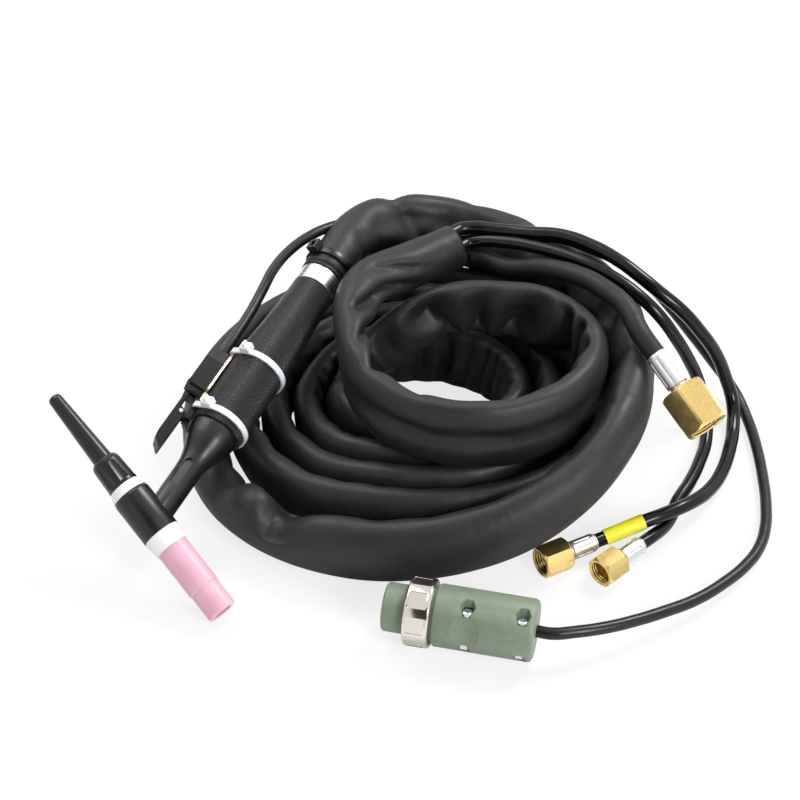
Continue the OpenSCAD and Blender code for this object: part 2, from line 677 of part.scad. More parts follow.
// the lock of a cable tie: a block with a slot, and the cut end of its strap
module tie_lock(r) {
    translate([0, r + 0.2, 0]) difference() {
        union() {
            translate([-3.2, 0.4, -strap_w / 2 - 1]) cube([6.4, 4, strap_w + 2]);
            translate([-2.6, 4.3, -strap_w / 2 - 0.5]) cube([5.2, 0.7, strap_w + 1]);
            translate([-1, 1, -strap_w / 2]) cube([strap_t, 6.2, strap_w]);
        }
        translate([0.6, 2, -strap_w / 2]) cube([1.4, 4, strap_w]);
    }
}

module front_tie() {
    color([0.93, 0.93, 0.95, 0.9]) along_handle() translate([0, 0, front_tie_x]) {
        translate([0, 0, -strap_w / 2]) linear_extrude(strap_w) strap_ring(grip_r + 0.02, bracket_w + 0.1, housing_v + 0.02);
        rotate([0, 0, 142]) tie_lock(grip_r + strap_t - 0.4);
    }
}

module rear_tie() {
    color([0.93, 0.93, 0.95, 0.9]) along_handle() translate([0, 0, rear_tie_x]) {
        translate([0, 0, -strap_w / 2]) linear_extrude(strap_w) strap_ring(grip_r + 0.02, plate_w + 0.1, housing_v + 0.02);
        rotate([0, 0, 142]) tie_lock(grip_r + strap_t - 0.4);
    }
}

module sleeve_tie() {
    color([0.04, 0.04, 0.04]) along_handle() translate([0, 0, sleeve_start + 8]) {
        difference() {
            translate([0, 0, -2.2]) cylinder(r = sleeve_start_r + 1.5, h = 4.4);
            translate([0, 0, -3]) cylinder(r = sleeve_start_r + 0.05, h = 6);
        }
        rotate([0, 0, 125]) translate([0, sleeve_start_r + 1.2, 0]) difference() {
            translate([-3.4, 0, -3.6]) cube([6.8, 4.6, 7.2]);
            translate([-1.6, 2, -1.8]) cube([3.2, 4, 3.6]);
        }
    }
}

// ---- cover sleeve and leads ------------------------------------------------
module cover_sleeve() {
    echo(sleeve_gap = least_gap(sleeve_path, sleeve_halves));
    color([0.16, 0.16, 0.17]) tube(sleeve_path, sleeve_halves, 6);
}

hose_a_from = mouth_at - mouth_side * 2 + [0, 0, 9.4];
hose_b_from = mouth_at + mouth_side * 5.5 + [0, 0, 3.4];
power_from = mouth_at + mouth_side * 3.5 + [0, 0, -6.8];
control_from = mouth_at - mouth_side * 7 + [0, 0, 1];

ferrule_l = 18;
nut_a_at = [188.8, -73, 8.6] - layout_mid;
nut_a_yaw = 28;
nut_b_at = [220.6, -80.6, 8.4] - layout_mid;
nut_b_yaw = 42;
power_nut_at = [281.7, -20.1, 61] - layout_mid;
power_nut_yaw = 127.3;
power_nut_tilt = 26.5;
power_ferrule_l = 24;
big_nut_run = big_nut_l + power_ferrule_l;

function union_way(yaw, tilt) = [cos(yaw) * cos(tilt), sin(yaw) * cos(tilt), sin(tilt)];
way_a = union_way(nut_a_yaw, 0);
way_b = union_way(nut_b_yaw, 0);
way_power = union_way(power_nut_yaw, power_nut_tilt);
hose_a_to = nut_a_at + way_a * (nut_l + ferrule_l);
hose_b_to = nut_b_at + way_b * (nut_l - 2 + ferrule_l);
power_to = power_nut_at + way_power * big_nut_run;

plug_at = [104.2, -114, ring_d / 2 + 0.1] - layout_mid;
plug_yaw = -12.7;
plug_roll = -21;
plug_way = union_way(plug_yaw, 0);
plug_back = 12.5 + ring_w + 1.2 + plug_l;
control_to = plug_at + plug_way * (plug_back - 20);

hose_a_route = concat([hose_a_from, hose_a_from + mouth_way * 9], laid([
    [173, 121.5, 92], [190, 116, 94], [207, 111, 96], [224, 101, 96], [240, 88, 94], [251, 79, 90], [263, 72, 83],
    [276, 68, 73], [288, 66, 59], [299, 66, 42], [306, 64, 26], [311, 57, 12], [310, 42, 5], [306, 25, 4.4],
    [299, 5, 4.8], [289, -14, 8], [277, -29, 12.8], [262, -39.5, 14.6], [246, -46.5, 13.4]]),
    [hose_a_to + way_a * 9, hose_a_to]);
hose_b_route = concat([hose_b_from, hose_b_from + mouth_way * 9], laid([
    [175, 113, 89.5], [194, 104.5, 91.5], [209, 96, 92.5], [223, 86, 92.5], [239, 74, 90], [251, 65, 85], [262, 59, 76],
    [272, 57, 62], [281, 57, 46], [289, 57, 28], [294, 50, 11], [293, 33, 4.4], [287, 14, 4.1], [279, -4, 4.1],
    [270, -20, 4.2], [264.5, -34, 4.8], [258, -45, 6.6]]),
    [hose_b_to + way_b * 9, hose_b_to]);
power_route = concat([power_from, power_from + mouth_way * 8], laid([
    [177, 104, 77.5], [197, 90, 87.5], [216, 74, 93.5], [229, 58, 96], [239, 44, 95.4]]),
    [power_to + way_power * 14, power_to]);
control_route = concat([control_from, control_from + mouth_way * 8], laid([
    [175, 127, 83], [191, 122, 86], [207, 117.5, 89], [224, 107, 89.5], [240, 95.5, 88.5], [256, 84, 82], [270, 81, 67],
    [285, 80, 47], [301, 80, 24], [314, 72, 9], [320, 52, 3.8], [322, 27, 3.6], [322, 2, 3.6], [320.5, -22, 3.6],
    [317, -42, 4], [311, -58, 4.6], [301.5, -72, 5.4], [288.5, -85.5, 6.6], [270.5, -100.5, 8.8], [253, -111, 11.2],
    [236, -120, 13.8], [219.5, -127, 16], [204, -131.5, 17.8]]),
    [control_to + plug_way * 28, control_to + plug_way * 20, control_to]);

marker_from = hose_a_route[20];
marker_to = hose_a_route[21];
marker_way = marker_to - marker_from;
marker_at = (marker_from + marker_to) / 2;
cable_from = [housing_x + housing_l + 0.2, 0, housing_v + 4.6];
switch_cable_route = concat([posed(cable_from), posed(cable_from + [8, 0, 0])], laid([
    [21, 56, 72], [26, 68, 74], [31, 81, 77], [38, 97, 82.5], [47, 110, 86], [58, 121, 88], [70, 131, 87.5],
    [82, 139, 85]]));

module switch_cable() {
    color([0.05, 0.05, 0.05]) cord(switch_cable_route, switch_cable_d, 8);
}

module hose_a() {
    color([0.05, 0.05, 0.05]) cord(hose_a_route, hose_a_d, 8);
}

module hose_b() {
    color([0.05, 0.05, 0.05]) cord(hose_b_route, hose_b_d, 8);
}

module power_cable() {
    color([0.1, 0.1, 0.1]) cord(power_route, power_d, 10);
}

module control_lead() {
    color([0.07, 0.07, 0.07]) cord(control_route, control_d, 8);
}

module on_union(at, yaw, tilt) {
    translate(at) rotate([0, 0, yaw]) rotate([0, 90 - tilt, 0]) children();
}

// length from a nipple's nose to the rear face of its nut
union_nose = 10.5;

// hexagonal union nut: open threaded mouth at its start, collar bore at its end
module union_nut(af, l, thread_r, neck_r) {
    difference() {
        intersection() {
            cylinder(r = af / 2 / cos(30), h = l, $fn = 6);
            union() {
                cylinder(r1 = af / 2 - 0.3, r2 = af / 2 + 1.4, h = 1.7);
                translate([0, 0, 1.7]) cylinder(r = af / 2 + 1.5, h = l - 3.2);
                translate([0, 0, l - 1.5]) cylinder(r1 = af / 2 + 1.4, r2 = af / 2, h = 1.5);
            }
        }
        translate([0, 0, -1]) cylinder(r = thread_r, h = l - union_nose - 0.3 + 1);
        translate([0, 0, l - union_nose - 0.3]) cylinder(r = thread_r + 0.35, h = union_nose - 3.7);
        translate([0, 0, -0.01]) cylinder(r1 = thread_r + 0.7, r2 = thread_r, h = 0.7);
        translate([0, 0, l - 5]) cylinder(r = neck_r + run_gap, h = 6);
    }
}

// brass nipple: rounded nose, shoulder that the nut pulls on, neck into the ferrule
module union_nipple(l, thread_r, neck_r, bore_r, tail) {
    rotate_extrude() polygon([
        [bore_r, l - union_nose], [neck_r * 0.55, l - union_nose], [neck_r * 0.9, l - union_nose + 1.4], [thread_r - 0.8, l - 7],
        [thread_r - 0.3, l - 6], [thread_r - 0.3, l - 4.1], [neck_r, l - 4.1], [neck_r, l + tail], [bore_r, l + tail]]);
}

// crimped ferrule over the hose end, with a collar at the nut
module union_ferrule(l, r, neck_r, hose_r, grooves) {
    difference() {
        rotate_extrude() polygon([
            [neck_r, 0.6], [r * 0.8, 0.6], [r * 0.8, 2.4], [r, 3], [r, l - 1.4], [r - 0.6, l - 0.4], [r - 0.6, l],
            [neck_r, l]]);
        for (i = [0:grooves - 1]) rotate([0, 0, 360 * i / grooves]) translate([r + 0.5, 0, 4.5])
            cylinder(r = 1, h = l - 8, $fn = 24);
    }
}

module ferrule_a() {
    color([0.82, 0.82, 0.84]) on_union(nut_a_at + way_a * nut_l, nut_a_yaw, 0) union_ferrule(ferrule_l, 5.2, 2.9, 4, 8);
}

module ferrule_b() {
    color([0.82, 0.82, 0.84]) on_union(nut_b_at + way_b * (nut_l - 2), nut_b_yaw, 0) union_ferrule(ferrule_l, 5, 2.7, 3.8, 8);
}

module power_ferrule() {
    color([0.82, 0.82, 0.84]) on_union(power_nut_at + way_power * big_nut_l, power_nut_yaw, power_nut_tilt)
        union_ferrule(power_ferrule_l, 6.4, 4.2, 5.8, 8);
}

module nipple_a() {
    color([0.83, 0.66, 0.32]) on_union(nut_a_at, nut_a_yaw, 0) union_nipple(nut_l, 6.6, 2.9, 1.5, 14);
}

module nipple_b() {
    color([0.83, 0.66, 0.32]) on_union(nut_b_at, nut_b_yaw, 0) union_nipple(nut_l - 2, 6.2, 2.7, 1.4, 14);
}

module power_nipple() {
    color([0.83, 0.66, 0.32]) on_union(power_nut_at, power_nut_yaw, power_nut_tilt)
        union_nipple(big_nut_l, 9.4, 4.2, 2.2, 18);
}

module nut_a() {
    color([0.85, 0.66, 0.28]) on_union(nut_a_at, nut_a_yaw, 0) rotate([0, 0, 30]) union_nut(nut_af, nut_l, 6.6, 2.9);
}

module nut_b() {
    color([0.85, 0.66, 0.28]) on_union(nut_b_at, nut_b_yaw, 0) rotate([0, 0, 30])
        union_nut(nut_af - 0.6, nut_l - 2, 6.2, 2.7);
}

module power_nut() {
    color([0.82, 0.64, 0.26]) on_union(power_nut_at, power_nut_yaw, power_nut_tilt) rotate([0, 0, 18])
        union_nut(big_nut_af, big_nut_l, 9.4, 4.2);
}

module marker_band() {
    color([0.95, 0.85, 0.05]) translate(marker_at) orient(marker_way) translate([0, 0, -marker_l / 2]) difference() {
            cylinder(r = hose_a_d / 2 + 0.5, h = marker_l);
            translate([0, 0, -1]) cylinder(r = hose_a_d / 2 + 0.02, h = marker_l + 2);
        }
}

module orient(way) {
    rotate([0, 0, atan2(way[1], way[0])]) rotate([0, acos(way[2] / norm(way)), 0]) children();
}

// ---- plug ------------------------------------------------------------------
ring_x = 12.5;
nose_core_r = nose_d / 2 - 0.3;
coupling_r = 15.2;
body_x = ring_x + ring_w + 1.2;
plug_r = plug_d / 2;
screw_x = [18, 47];
screw_y = 10.6;
pocket_v = 8;
pocket_r = 4.2;

module plug_pose() {
    translate(plug_at) rotate([0, 0, plug_yaw]) rotate([plug_roll, 0, 0]) children();
}

module plug_nose() {
    color([0.36, 0.44, 0.36]) plug_pose() along_x() rotate_extrude() polygon([
            [9.5, 0], [nose_d / 2 - 1, 0], [nose_d / 2, 1], [nose_d / 2, ring_x - 0.2],
            [nose_core_r, ring_x - 0.2], [nose_core_r, body_x - 2.5], [14.4, body_x - 2.5], [14.4, body_x],
            [9.5, body_x]]);
}

module plug_insert() {
    color([0.15, 0.15, 0.16]) plug_pose() along_x() difference() {
        translate([0, 0, 7]) cylinder(r = 9.5, h = body_x - 6);
        for (i = [0:4]) rotate([0, 0, 72 * i]) translate([5.2, 0, 6]) cylinder(r = 0.8, h = body_x, $fn = 24);
    }
}

module plug_pins() {
    color([0.86, 0.72, 0.4]) plug_pose() along_x() for (i = [0:4]) rotate([0, 0, 72 * i]) translate([5.2, 0, 1.5]) {
        cylinder(r = 0.8, h = body_x - 0.5, $fn = 24);
        translate([0, 0, body_x - 0.5]) cylinder(r = 1.2, h = 3, $fn = 24);
    }
}

module coupling_ring() {
    color([0.85, 0.84, 0.8]) plug_pose() along_x() translate([0, 0, ring_x]) difference() {
        rotate_extrude() polygon([
            [coupling_r, 0], [ring_d / 2 - 0.9, 0], [ring_d / 2, 0.8], [ring_d / 2, ring_w - 0.8],
            [ring_d / 2 - 0.8, ring_w], [14.6, ring_w], [14.6, ring_w - 1.6], [nose_core_r + run_gap, ring_w - 1.6],
            [nose_core_r + run_gap, ring_w - 4.2], [coupling_r, ring_w - 4.2]]);
        for (i = [0:ring_recesses - 1]) rotate([0, 0, 360 * i / ring_recesses])
            translate([ring_d / 2 - 1, -4.6, 1.6]) cube([3, 9.2, ring_w - 4.2]);
    }
}

module plug_body() {
    difference() {
        along_x() rotate_extrude() polygon([
            [0, body_x], [plug_r - 1.6, body_x], [plug_r - 0.5, body_x + 0.5], [plug_r, body_x + 1.6],
            [plug_r, body_x + plug_l - 2.4], [plug_r - 0.7, body_x + plug_l - 0.7], [plug_r - 2.4, body_x + plug_l],
            [0, body_x + plug_l]]);
        along_x() translate([0, 0, body_x - 1]) cylinder(r = 12.6, h = 24);
        along_x() translate([0, 0, body_x + 22]) cylinder(r = 8, h = plug_l - 28);
        along_x() translate([0, 0, body_x + plug_l - 8]) cylinder(r = control_d / 2 + 0.02, h = 10);
        for (x = screw_x, s = [-1, 1]) translate([body_x + x, s * screw_y, 0]) {
            translate([0, 0, -20]) cylinder(r = 1.75, h = 40, $fn = 32);
            translate([0, 0, pocket_v]) cylinder(r = pocket_r, h = 12, $fn = 6);
            translate([0, 0, -pocket_v - 12]) cylinder(r = pocket_r, h = 12, $fn = 6);
        }
        // finger saddles on both sides
        for (s = [-1, 1]) translate([body_x + screw_x[0], s * (plug_r + 10.4), -20]) cylinder(r = 13, h = 40);
    }
}

module plug_upper_shell() {
    color([0.36, 0.44, 0.36]) plug_pose() intersection() {
        plug_body();
        translate([body_x - 1, -30, 0.03]) cube([plug_l + 2, 60, 30]);
    }
}

module plug_lower_shell() {
    color([0.36, 0.44, 0.36]) plug_pose() intersection() {
        plug_body();
        translate([body_x - 1, -30, -30.03]) cube([plug_l + 2, 60, 30]);
    }
}

module plug_screws() {
    color([0.85, 0.85, 0.86]) plug_pose() for (x = screw_x, s = [-1, 1])
        translate([body_x + x, s * screw_y, 0]) difference() {
            union() {
                translate([0, 0, -pocket_v - 3.2]) cylinder(r = 1.5, h = 2 * pocket_v + 3.3, $fn = 32);
                translate([0, 0, pocket_v + 0.05]) cylinder(r = 3.3, h = 1.6, $fn = 32);
                translate([0, 0, pocket_v + 1.65]) cylinder(r1 = 3.3, r2 = 2.4, h = 0.8, $fn = 32);
            }
            for (a = [0, 90]) rotate([0, 0, a + 20]) translate([-2, -0.35, pocket_v + 1.4]) cube([4, 0.7, 3]);
        }
}

module plug_nuts() {
    color([0.82, 0.82, 0.84]) plug_pose() for (x = screw_x, s = [-1, 1])
        translate([body_x + x, s * screw_y, -pocket_v - 2.45]) difference() {
            cylinder(r = 3.6, h = 2.4, $fn = 6);
            translate([0, 0, -1]) cylinder(r = 1.55, h = 5, $fn = 32);
        }
}

module plug_cord_clamp() {
    color([0.75, 0.75, 0.76]) plug_pose() along_x() translate([0, 0, body_x + 34]) difference() {
        cylinder(r = 7.6, h = 6);
        translate([0, 0, -1]) cylinder(r = control_d / 2 + 0.02, h = 8);
    }
}

nozzle();
front_gasket();
head_shell();
head_core();
power_tube();
water_tube();
gas_tube();
collet_body();
collet();
rear_gasket();
cap_insert();
cap_o_ring();
back_cap();
grip();
collar();
collar_ring();
inner_power_hose();
inner_water_hose();
inner_gas_hose();
switch_base_plate();
switch_bracket();
switch_housing();
micro_switch();
switch_plunger();
switch_lever();
lever_pin();
front_tie();
rear_tie();
sleeve_tie();
cover_sleeve();
switch_cable();
hose_a();
hose_b();
power_cable();
control_lead();
marker_band();
ferrule_a();
ferrule_b();
power_ferrule();
nipple_a();
nipple_b();
power_nipple();
nut_a();
nut_b();
power_nut();
plug_nose();
plug_insert();
plug_pins();
coupling_ring();
plug_lower_shell();
plug_upper_shell();
plug_screws();
plug_nuts();
plug_cord_clamp();
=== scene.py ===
import bpy
import bmesh
import math
from mathutils import Matrix, Vector, noise


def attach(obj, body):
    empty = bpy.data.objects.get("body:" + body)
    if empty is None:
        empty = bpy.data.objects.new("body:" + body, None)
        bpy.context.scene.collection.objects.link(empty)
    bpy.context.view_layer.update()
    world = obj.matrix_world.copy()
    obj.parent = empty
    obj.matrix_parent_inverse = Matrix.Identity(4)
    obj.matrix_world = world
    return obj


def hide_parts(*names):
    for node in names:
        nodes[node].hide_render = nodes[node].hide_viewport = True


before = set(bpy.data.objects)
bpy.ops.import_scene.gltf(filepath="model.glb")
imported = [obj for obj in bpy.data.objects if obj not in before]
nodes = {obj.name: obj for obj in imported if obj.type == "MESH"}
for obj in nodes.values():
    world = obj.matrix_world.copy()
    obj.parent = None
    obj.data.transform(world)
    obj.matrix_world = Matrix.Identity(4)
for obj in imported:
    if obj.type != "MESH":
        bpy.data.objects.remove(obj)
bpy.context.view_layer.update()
mm = 0.001
print("frame loaded,", len(nodes), "nodes")

# camera at the viewing angle, 41 degrees above the floor
view = {"distance": 1.150, "elevation": 41, "lens": 85, "aim": (0.1092, 0.0722)}
cameraData = bpy.data.cameras.new("camera")
cameraData.lens = view["lens"]
cameraData.sensor_width = 36
camera = bpy.data.objects.new("camera", cameraData)
bpy.context.scene.collection.objects.link(camera)
rise = math.radians(view["elevation"])
back = view["distance"] * math.cos(rise)
camera.location = (view["aim"][0], view["aim"][1] - back, view["distance"] * math.sin(rise))
camera.rotation_euler = (math.pi / 2 - rise, 0, 0)
bpy.context.scene.camera = camera
bpy.context.scene.view_settings.view_transform = "Standard"


def linear(hexColour):
    parts = []
    for i in (0, 2, 4):
        c = int(hexColour[i:i + 2], 16) / 255
        parts.append(c / 12.92 if c <= 0.04045 else ((c + 0.055) / 1.055) ** 2.4)
    return (*parts, 1.0)


def newMaterial(name, colour, roughness, metallic=0.0, **extra):
    material = bpy.data.materials.new(name)
    material.use_nodes = True
    shader = material.node_tree.nodes["Principled BSDF"]
    shader.inputs["Base Color"].default_value = linear(colour)
    shader.inputs["Roughness"].default_value = roughness
    shader.inputs["Metallic"].default_value = metallic
    for key, value in extra.items():
        shader.inputs[key.replace("_", " ")].default_value = value
    return material


def addNode(material, kind, settings, links):
    # settings name a property or an input socket, links name an input socket
    tree = material.node_tree
    node = tree.nodes.new(kind)
    for key, value in settings.items():
        if isinstance(key, str) and hasattr(node, key):
            setattr(node, key, value)
        else:
            node.inputs[key].default_value = value
    for key, socket in links.items():
        tree.links.new(socket, node.inputs[key])
    return node


def objectPlace(material, place=None, stretch=(1, 1, 1)):
    # object coordinates, turned into a piece's own axes where a placing matrix is given
    where = addNode(material, "ShaderNodeTexCoord", {}, {}).outputs["Object"]
    if place:
        turn = {"vector_type": "TEXTURE", "Location": place.to_translation(), "Rotation": place.to_euler()}
        where = addNode(material, "ShaderNodeMapping", turn, {"Vector": where}).outputs["Vector"]
    if stretch != (1, 1, 1):
        scaled = addNode(material, "ShaderNodeMapping", {"Scale": stretch}, {"Vector": where})
        where = scaled.outputs["Vector"]
    return where


def lift(material, height, depth):
    # raises the surface by height times depth metres, on top of what is there already
    shader = material.node_tree.nodes["Principled BSDF"]
    links = {"Height": height}
    if shader.inputs["Normal"].links:
        links["Normal"] = shader.inputs["Normal"].links[0].from_socket
    node = addNode(material, "ShaderNodeBump", {"Strength": 1.0, "Distance": depth}, links)
    material.node_tree.links.new(node.outputs["Normal"], shader.inputs["Normal"])


def addGrain(material, where, size, gloss=None, depth=0.0, tints=None, detail=3):
    # the finish's own grain: patches about size metres across change its gloss and tint and lift it by depth
    shader = material.node_tree.nodes["Principled BSDF"]
    links = material.node_tree.links
    patches = addNode(material, "ShaderNodeTexNoise", {"Scale": 1 / size, "Detail": detail},
                      {"Vector": where}).outputs["Fac"]
    if gloss:
        span = {"From Min": 0.3, "From Max": 0.7, "To Min": gloss[0], "To Max": gloss[1]}
        rough = addNode(material, "ShaderNodeMapRange", span, {"Value": patches})
        links.new(rough.outputs["Result"], shader.inputs["Roughness"])
    if tints:
        tint = addNode(material, "ShaderNodeValToRGB", {}, {"Fac": patches})
        for element, at, colour in zip(tint.color_ramp.elements, (0.35, 0.65), tints):
            element.position = at
            element.color = linear(colour)
        links.new(tint.outputs["Color"], shader.inputs["Base Color"])
    if depth:
        lift(material, patches, depth)


def turned(x=0, y=0, z=0):
    return (Matrix.Rotation(math.radians(z), 4, "Z") @ Matrix.Rotation(math.radians(y), 4, "Y")
            @ Matrix.Rotation(math.radians(x), 4, "X"))


def placed(at):
    return Matrix.Translation(Vector(at) * mm)


def newPiece(name, mesh, material, body="torch"):
    data = bpy.data.meshes.new(name)
    mesh.to_mesh(data)
    mesh.free()
    data.materials.append(material)
    for face in data.polygons:
        face.use_smooth = True
    piece = bpy.data.objects.new(name, data)
    bpy.context.scene.collection.objects.link(piece)
    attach(piece, body)
    return piece


easing = {"weld": 2e-6, "segments": 2, "angle": 32}


def dress(name, material, edge=0.0):
    # a CAD node keeps its shape and gets its finish, its hard edges eased by edge millimetres
    piece = nodes[name]
    piece.data.materials.clear()
    piece.data.materials.append(material)
    for face in piece.data.polygons:
        face.material_index = 0
    if edge:
        weld = piece.modifiers.new("weld", "WELD")
        weld.merge_threshold = easing["weld"]
        eased = piece.modifiers.new("edges", "BEVEL")
        eased.width = edge * mm
        eased.segments = easing["segments"]
        eased.limit_method = "ANGLE"
        eased.angle_limit = math.radians(easing["angle"])
        eased.use_clamp_overlap = True


# where the torch, the plug and the unions lie, as in the CAD
torch = {"at": (-24.4, -70.2, 36.416), "yaw": 62.3, "pitch": 11.3, "roll": -64}
plug = {"at": (101.4, -114.8, 18.6), "yaw": -12.7, "roll": -21}
unions = {
    "a": {"at": (186.0, -73.8, 8.6), "yaw": 28, "tilt": 0, "nut": 17, "ferrule": 18},
    "b": {"at": (217.8, -81.4, 8.4), "yaw": 42, "tilt": 0, "nut": 15, "ferrule": 18},
    "power": {"at": (278.9, -20.9, 61.0), "yaw": 127.3, "tilt": 26.5, "nut": 26, "ferrule": 24},
}
torchPlace = placed(torch["at"]) @ turned(z=torch["yaw"])
torchPlace = torchPlace @ turned(y=-torch["pitch"]) @ turned(x=torch["roll"])
plugPlace = placed(plug["at"]) @ turned(z=plug["yaw"]) @ turned(x=plug["roll"])
unionPlace = {}
for name, union in unions.items():
    unionPlace[name] = placed(union["at"]) @ turned(z=union["yaw"]) @ turned(y=90 - union["tilt"])

# free cords: their routes are in the layout's millimetres, as in the CAD
layoutMid = Vector((2.8, 0.8, 0))
mouth = {"at": (143.5, 117.5, 82), "yaw": 36, "inside": 16}
mouthAt = Vector(mouth["at"]) - layoutMid
mouthWay = Vector((math.cos(math.radians(mouth["yaw"])), math.sin(math.radians(mouth["yaw"])), 0))
mouthSide = Vector((mouthWay.y, -mouthWay.x, 0))
leads = {
    "hoseA": {"node": "hose_a", "slot": "hose_black", "diameter": 8, "union": "a", "across": -2, "up": 9.4,
              "first": 9, "last": 9,
              "route": [(173, 121.5, 92), (190, 116, 94), (207, 111, 96), (224, 101, 96), (240, 88, 94),
                        (251, 79, 90), (263, 72, 83), (276, 68, 73), (288, 66, 59), (299, 66, 42),
                        (306, 64, 26), (311, 57, 12), (310, 42, 5), (306, 25, 4.4), (299, 5, 4.8),
                        (289, -14, 8), (277, -29, 12.8), (262, -39.5, 14.6), (246, -46.5, 13.4)]},
    "hoseB": {"node": "hose_b", "slot": "hose_black", "diameter": 7.6, "union": "b", "across": 5.5, "up": 3.4,
              "first": 9, "last": 9,
              "route": [(175, 113, 89.5), (194, 104.5, 91.5), (209, 96, 92.5), (223, 86, 92.5),
                        (239, 74, 90), (251, 65, 85), (262, 59, 76), (272, 57, 62), (281, 57, 46),
                        (289, 57, 28), (294, 50, 11), (293, 33, 4.4), (287, 14, 4.1), (279, -4, 4.1),
                        (270, -20, 4.2), (264.5, -34, 4.8), (258, -45, 6.6)]},
    "powerCable": {"node": "power_cable", "slot": "black_rubber", "diameter": 11.6, "union": "power",
                   "across": 3.5, "up": -6.8, "first": 8, "last": 14,
                   "route": [(177, 104, 77.5), (197, 90, 87.5), (216, 74, 93.5), (229, 58, 96),
                             (239, 44, 95.4)]},
}
controlLead = {"across": -7, "up": 1, "first": 8, "diameter": 6.6, "intoPlug": (88.8, 80.8, 60.8),
               "route": [(175, 127, 83), (191, 122, 86), (207, 117.5, 89), (224, 107, 89.5),
                         (240, 95.5, 88.5), (256, 84, 82), (270, 81, 67), (285, 80, 47), (301, 80, 24),
                         (314, 72, 9), (320, 52, 3.8), (322, 27, 3.6), (322, 2, 3.6), (320.5, -22, 3.6),
                         (317, -42, 4), (311, -58, 4.6), (301.5, -72, 5.4), (288.5, -85.5, 6.6),
                         (270.5, -100.5, 8.8), (253, -111, 11.2), (236, -120, 13.8), (219.5, -127, 16),
                         (204, -131.5, 17.8)]}
switchCable = {"start": (112.2, 0, 22.0), "first": 8, "diameter": 6.2,
               "route": [(21, 56, 72), (26, 68, 74), (31, 81, 77), (38, 97, 82.5), (47, 110, 86),
                         (58, 121, 88), (70, 131, 87.5), (82, 139, 85)]}


def laid(points):
    return [(Vector(p) - layoutMid) * mm for p in points]


def fromMouth(lead):
    # a lead's first points: inside the sleeve, at its mouth, and straight out of it
    at = mouthAt + mouthSide * lead["across"] + Vector((0, 0, lead["up"]))
    return [(at + mouthWay * x) * mm for x in (-mouth["inside"], 0, lead["first"])]


def newCord(name, points, diameter, material):
    data = bpy.data.curves.new(name, "CURVE")
    data.dimensions = "3D"
    data.bevel_depth = diameter * mm / 2
    data.bevel_resolution = 6
    data.resolution_u = 8
    data.use_fill_caps = True
    spline = data.splines.new("BEZIER")
    spline.bezier_points.add(len(points) - 1)
    for knot, point in zip(spline.bezier_points, points):
        knot.co = point
        knot.handle_left_type = knot.handle_right_type = "AUTO"
    data.materials.append(material)
    cord = bpy.data.objects.new(name, data)
    bpy.context.scene.collection.objects.link(cord)
    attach(cord, "torch")
    return cord


# extruded PVC hose jacket: smooth and shiny, with faint uneven patches of gloss
hoseJacket = newMaterial("extruded hose jacket", "070708", 0.2, Specular_IOR_Level=0.32)
addGrain(hoseJacket, objectPlace(hoseJacket), 0.012, gloss=(0.14, 0.24))
addGrain(hoseJacket, objectPlace(hoseJacket), 0.0007, depth=0.00001)

# vulcanised rubber sheath: dull skin with a fine cloth-like grain of half a millimetre
rubberSheath = newMaterial("vulcanised rubber sheath", "131314", 0.5, Specular_IOR_Level=0.35)
addGrain(rubberSheath, objectPlace(rubberSheath), 0.005, gloss=(0.44, 0.6))
addGrain(rubberSheath, objectPlace(rubberSheath), 0.0005, depth=0.00006)

# control lead: PVC with a satin skin, softer in its shine than the hoses
leadJacket = newMaterial("satin PVC jacket", "0f0f10", 0.34, Specular_IOR_Level=0.35)
addGrain(leadJacket, objectPlace(leadJacket), 0.006, gloss=(0.26, 0.4))
addGrain(leadJacket, objectPlace(leadJacket), 0.0006, depth=0.00002)

for name, lead in leads.items():
    end = unionPlace[lead["union"]]
    reach = unions[lead["union"]]["nut"] + unions[lead["union"]]["ferrule"]
    lead["points"] = fromMouth(lead) + laid(lead["route"])
    lead["points"] += [end @ Vector((0, 0, x * mm)) for x in (reach + lead["last"], reach)]
    jacket = rubberSheath if name == "powerCable" else hoseJacket
    lead["piece"] = newCord(name, lead["points"], lead["diameter"], jacket)
    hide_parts(lead["node"])

controlPoints = fromMouth(controlLead) + laid(controlLead["route"])
controlPoints += [plugPlace @ Vector((x * mm, 0, 0)) for x in controlLead["intoPlug"]]
controlPiece = newCord("controlLead", controlPoints, controlLead["diameter"], leadJacket)
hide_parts("control_lead")

switchFrom = Vector(switchCable["start"]) * mm
switchPoints = [torchPlace @ switchFrom]
switchPoints.append(torchPlace @ (switchFrom + Vector((switchCable["first"] * mm, 0, 0))))
switchPoints += laid(switchCable["route"])
switchPiece = newCord("switchCable", switchPoints, switchCable["diameter"], leadJacket)
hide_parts("switch_cable")

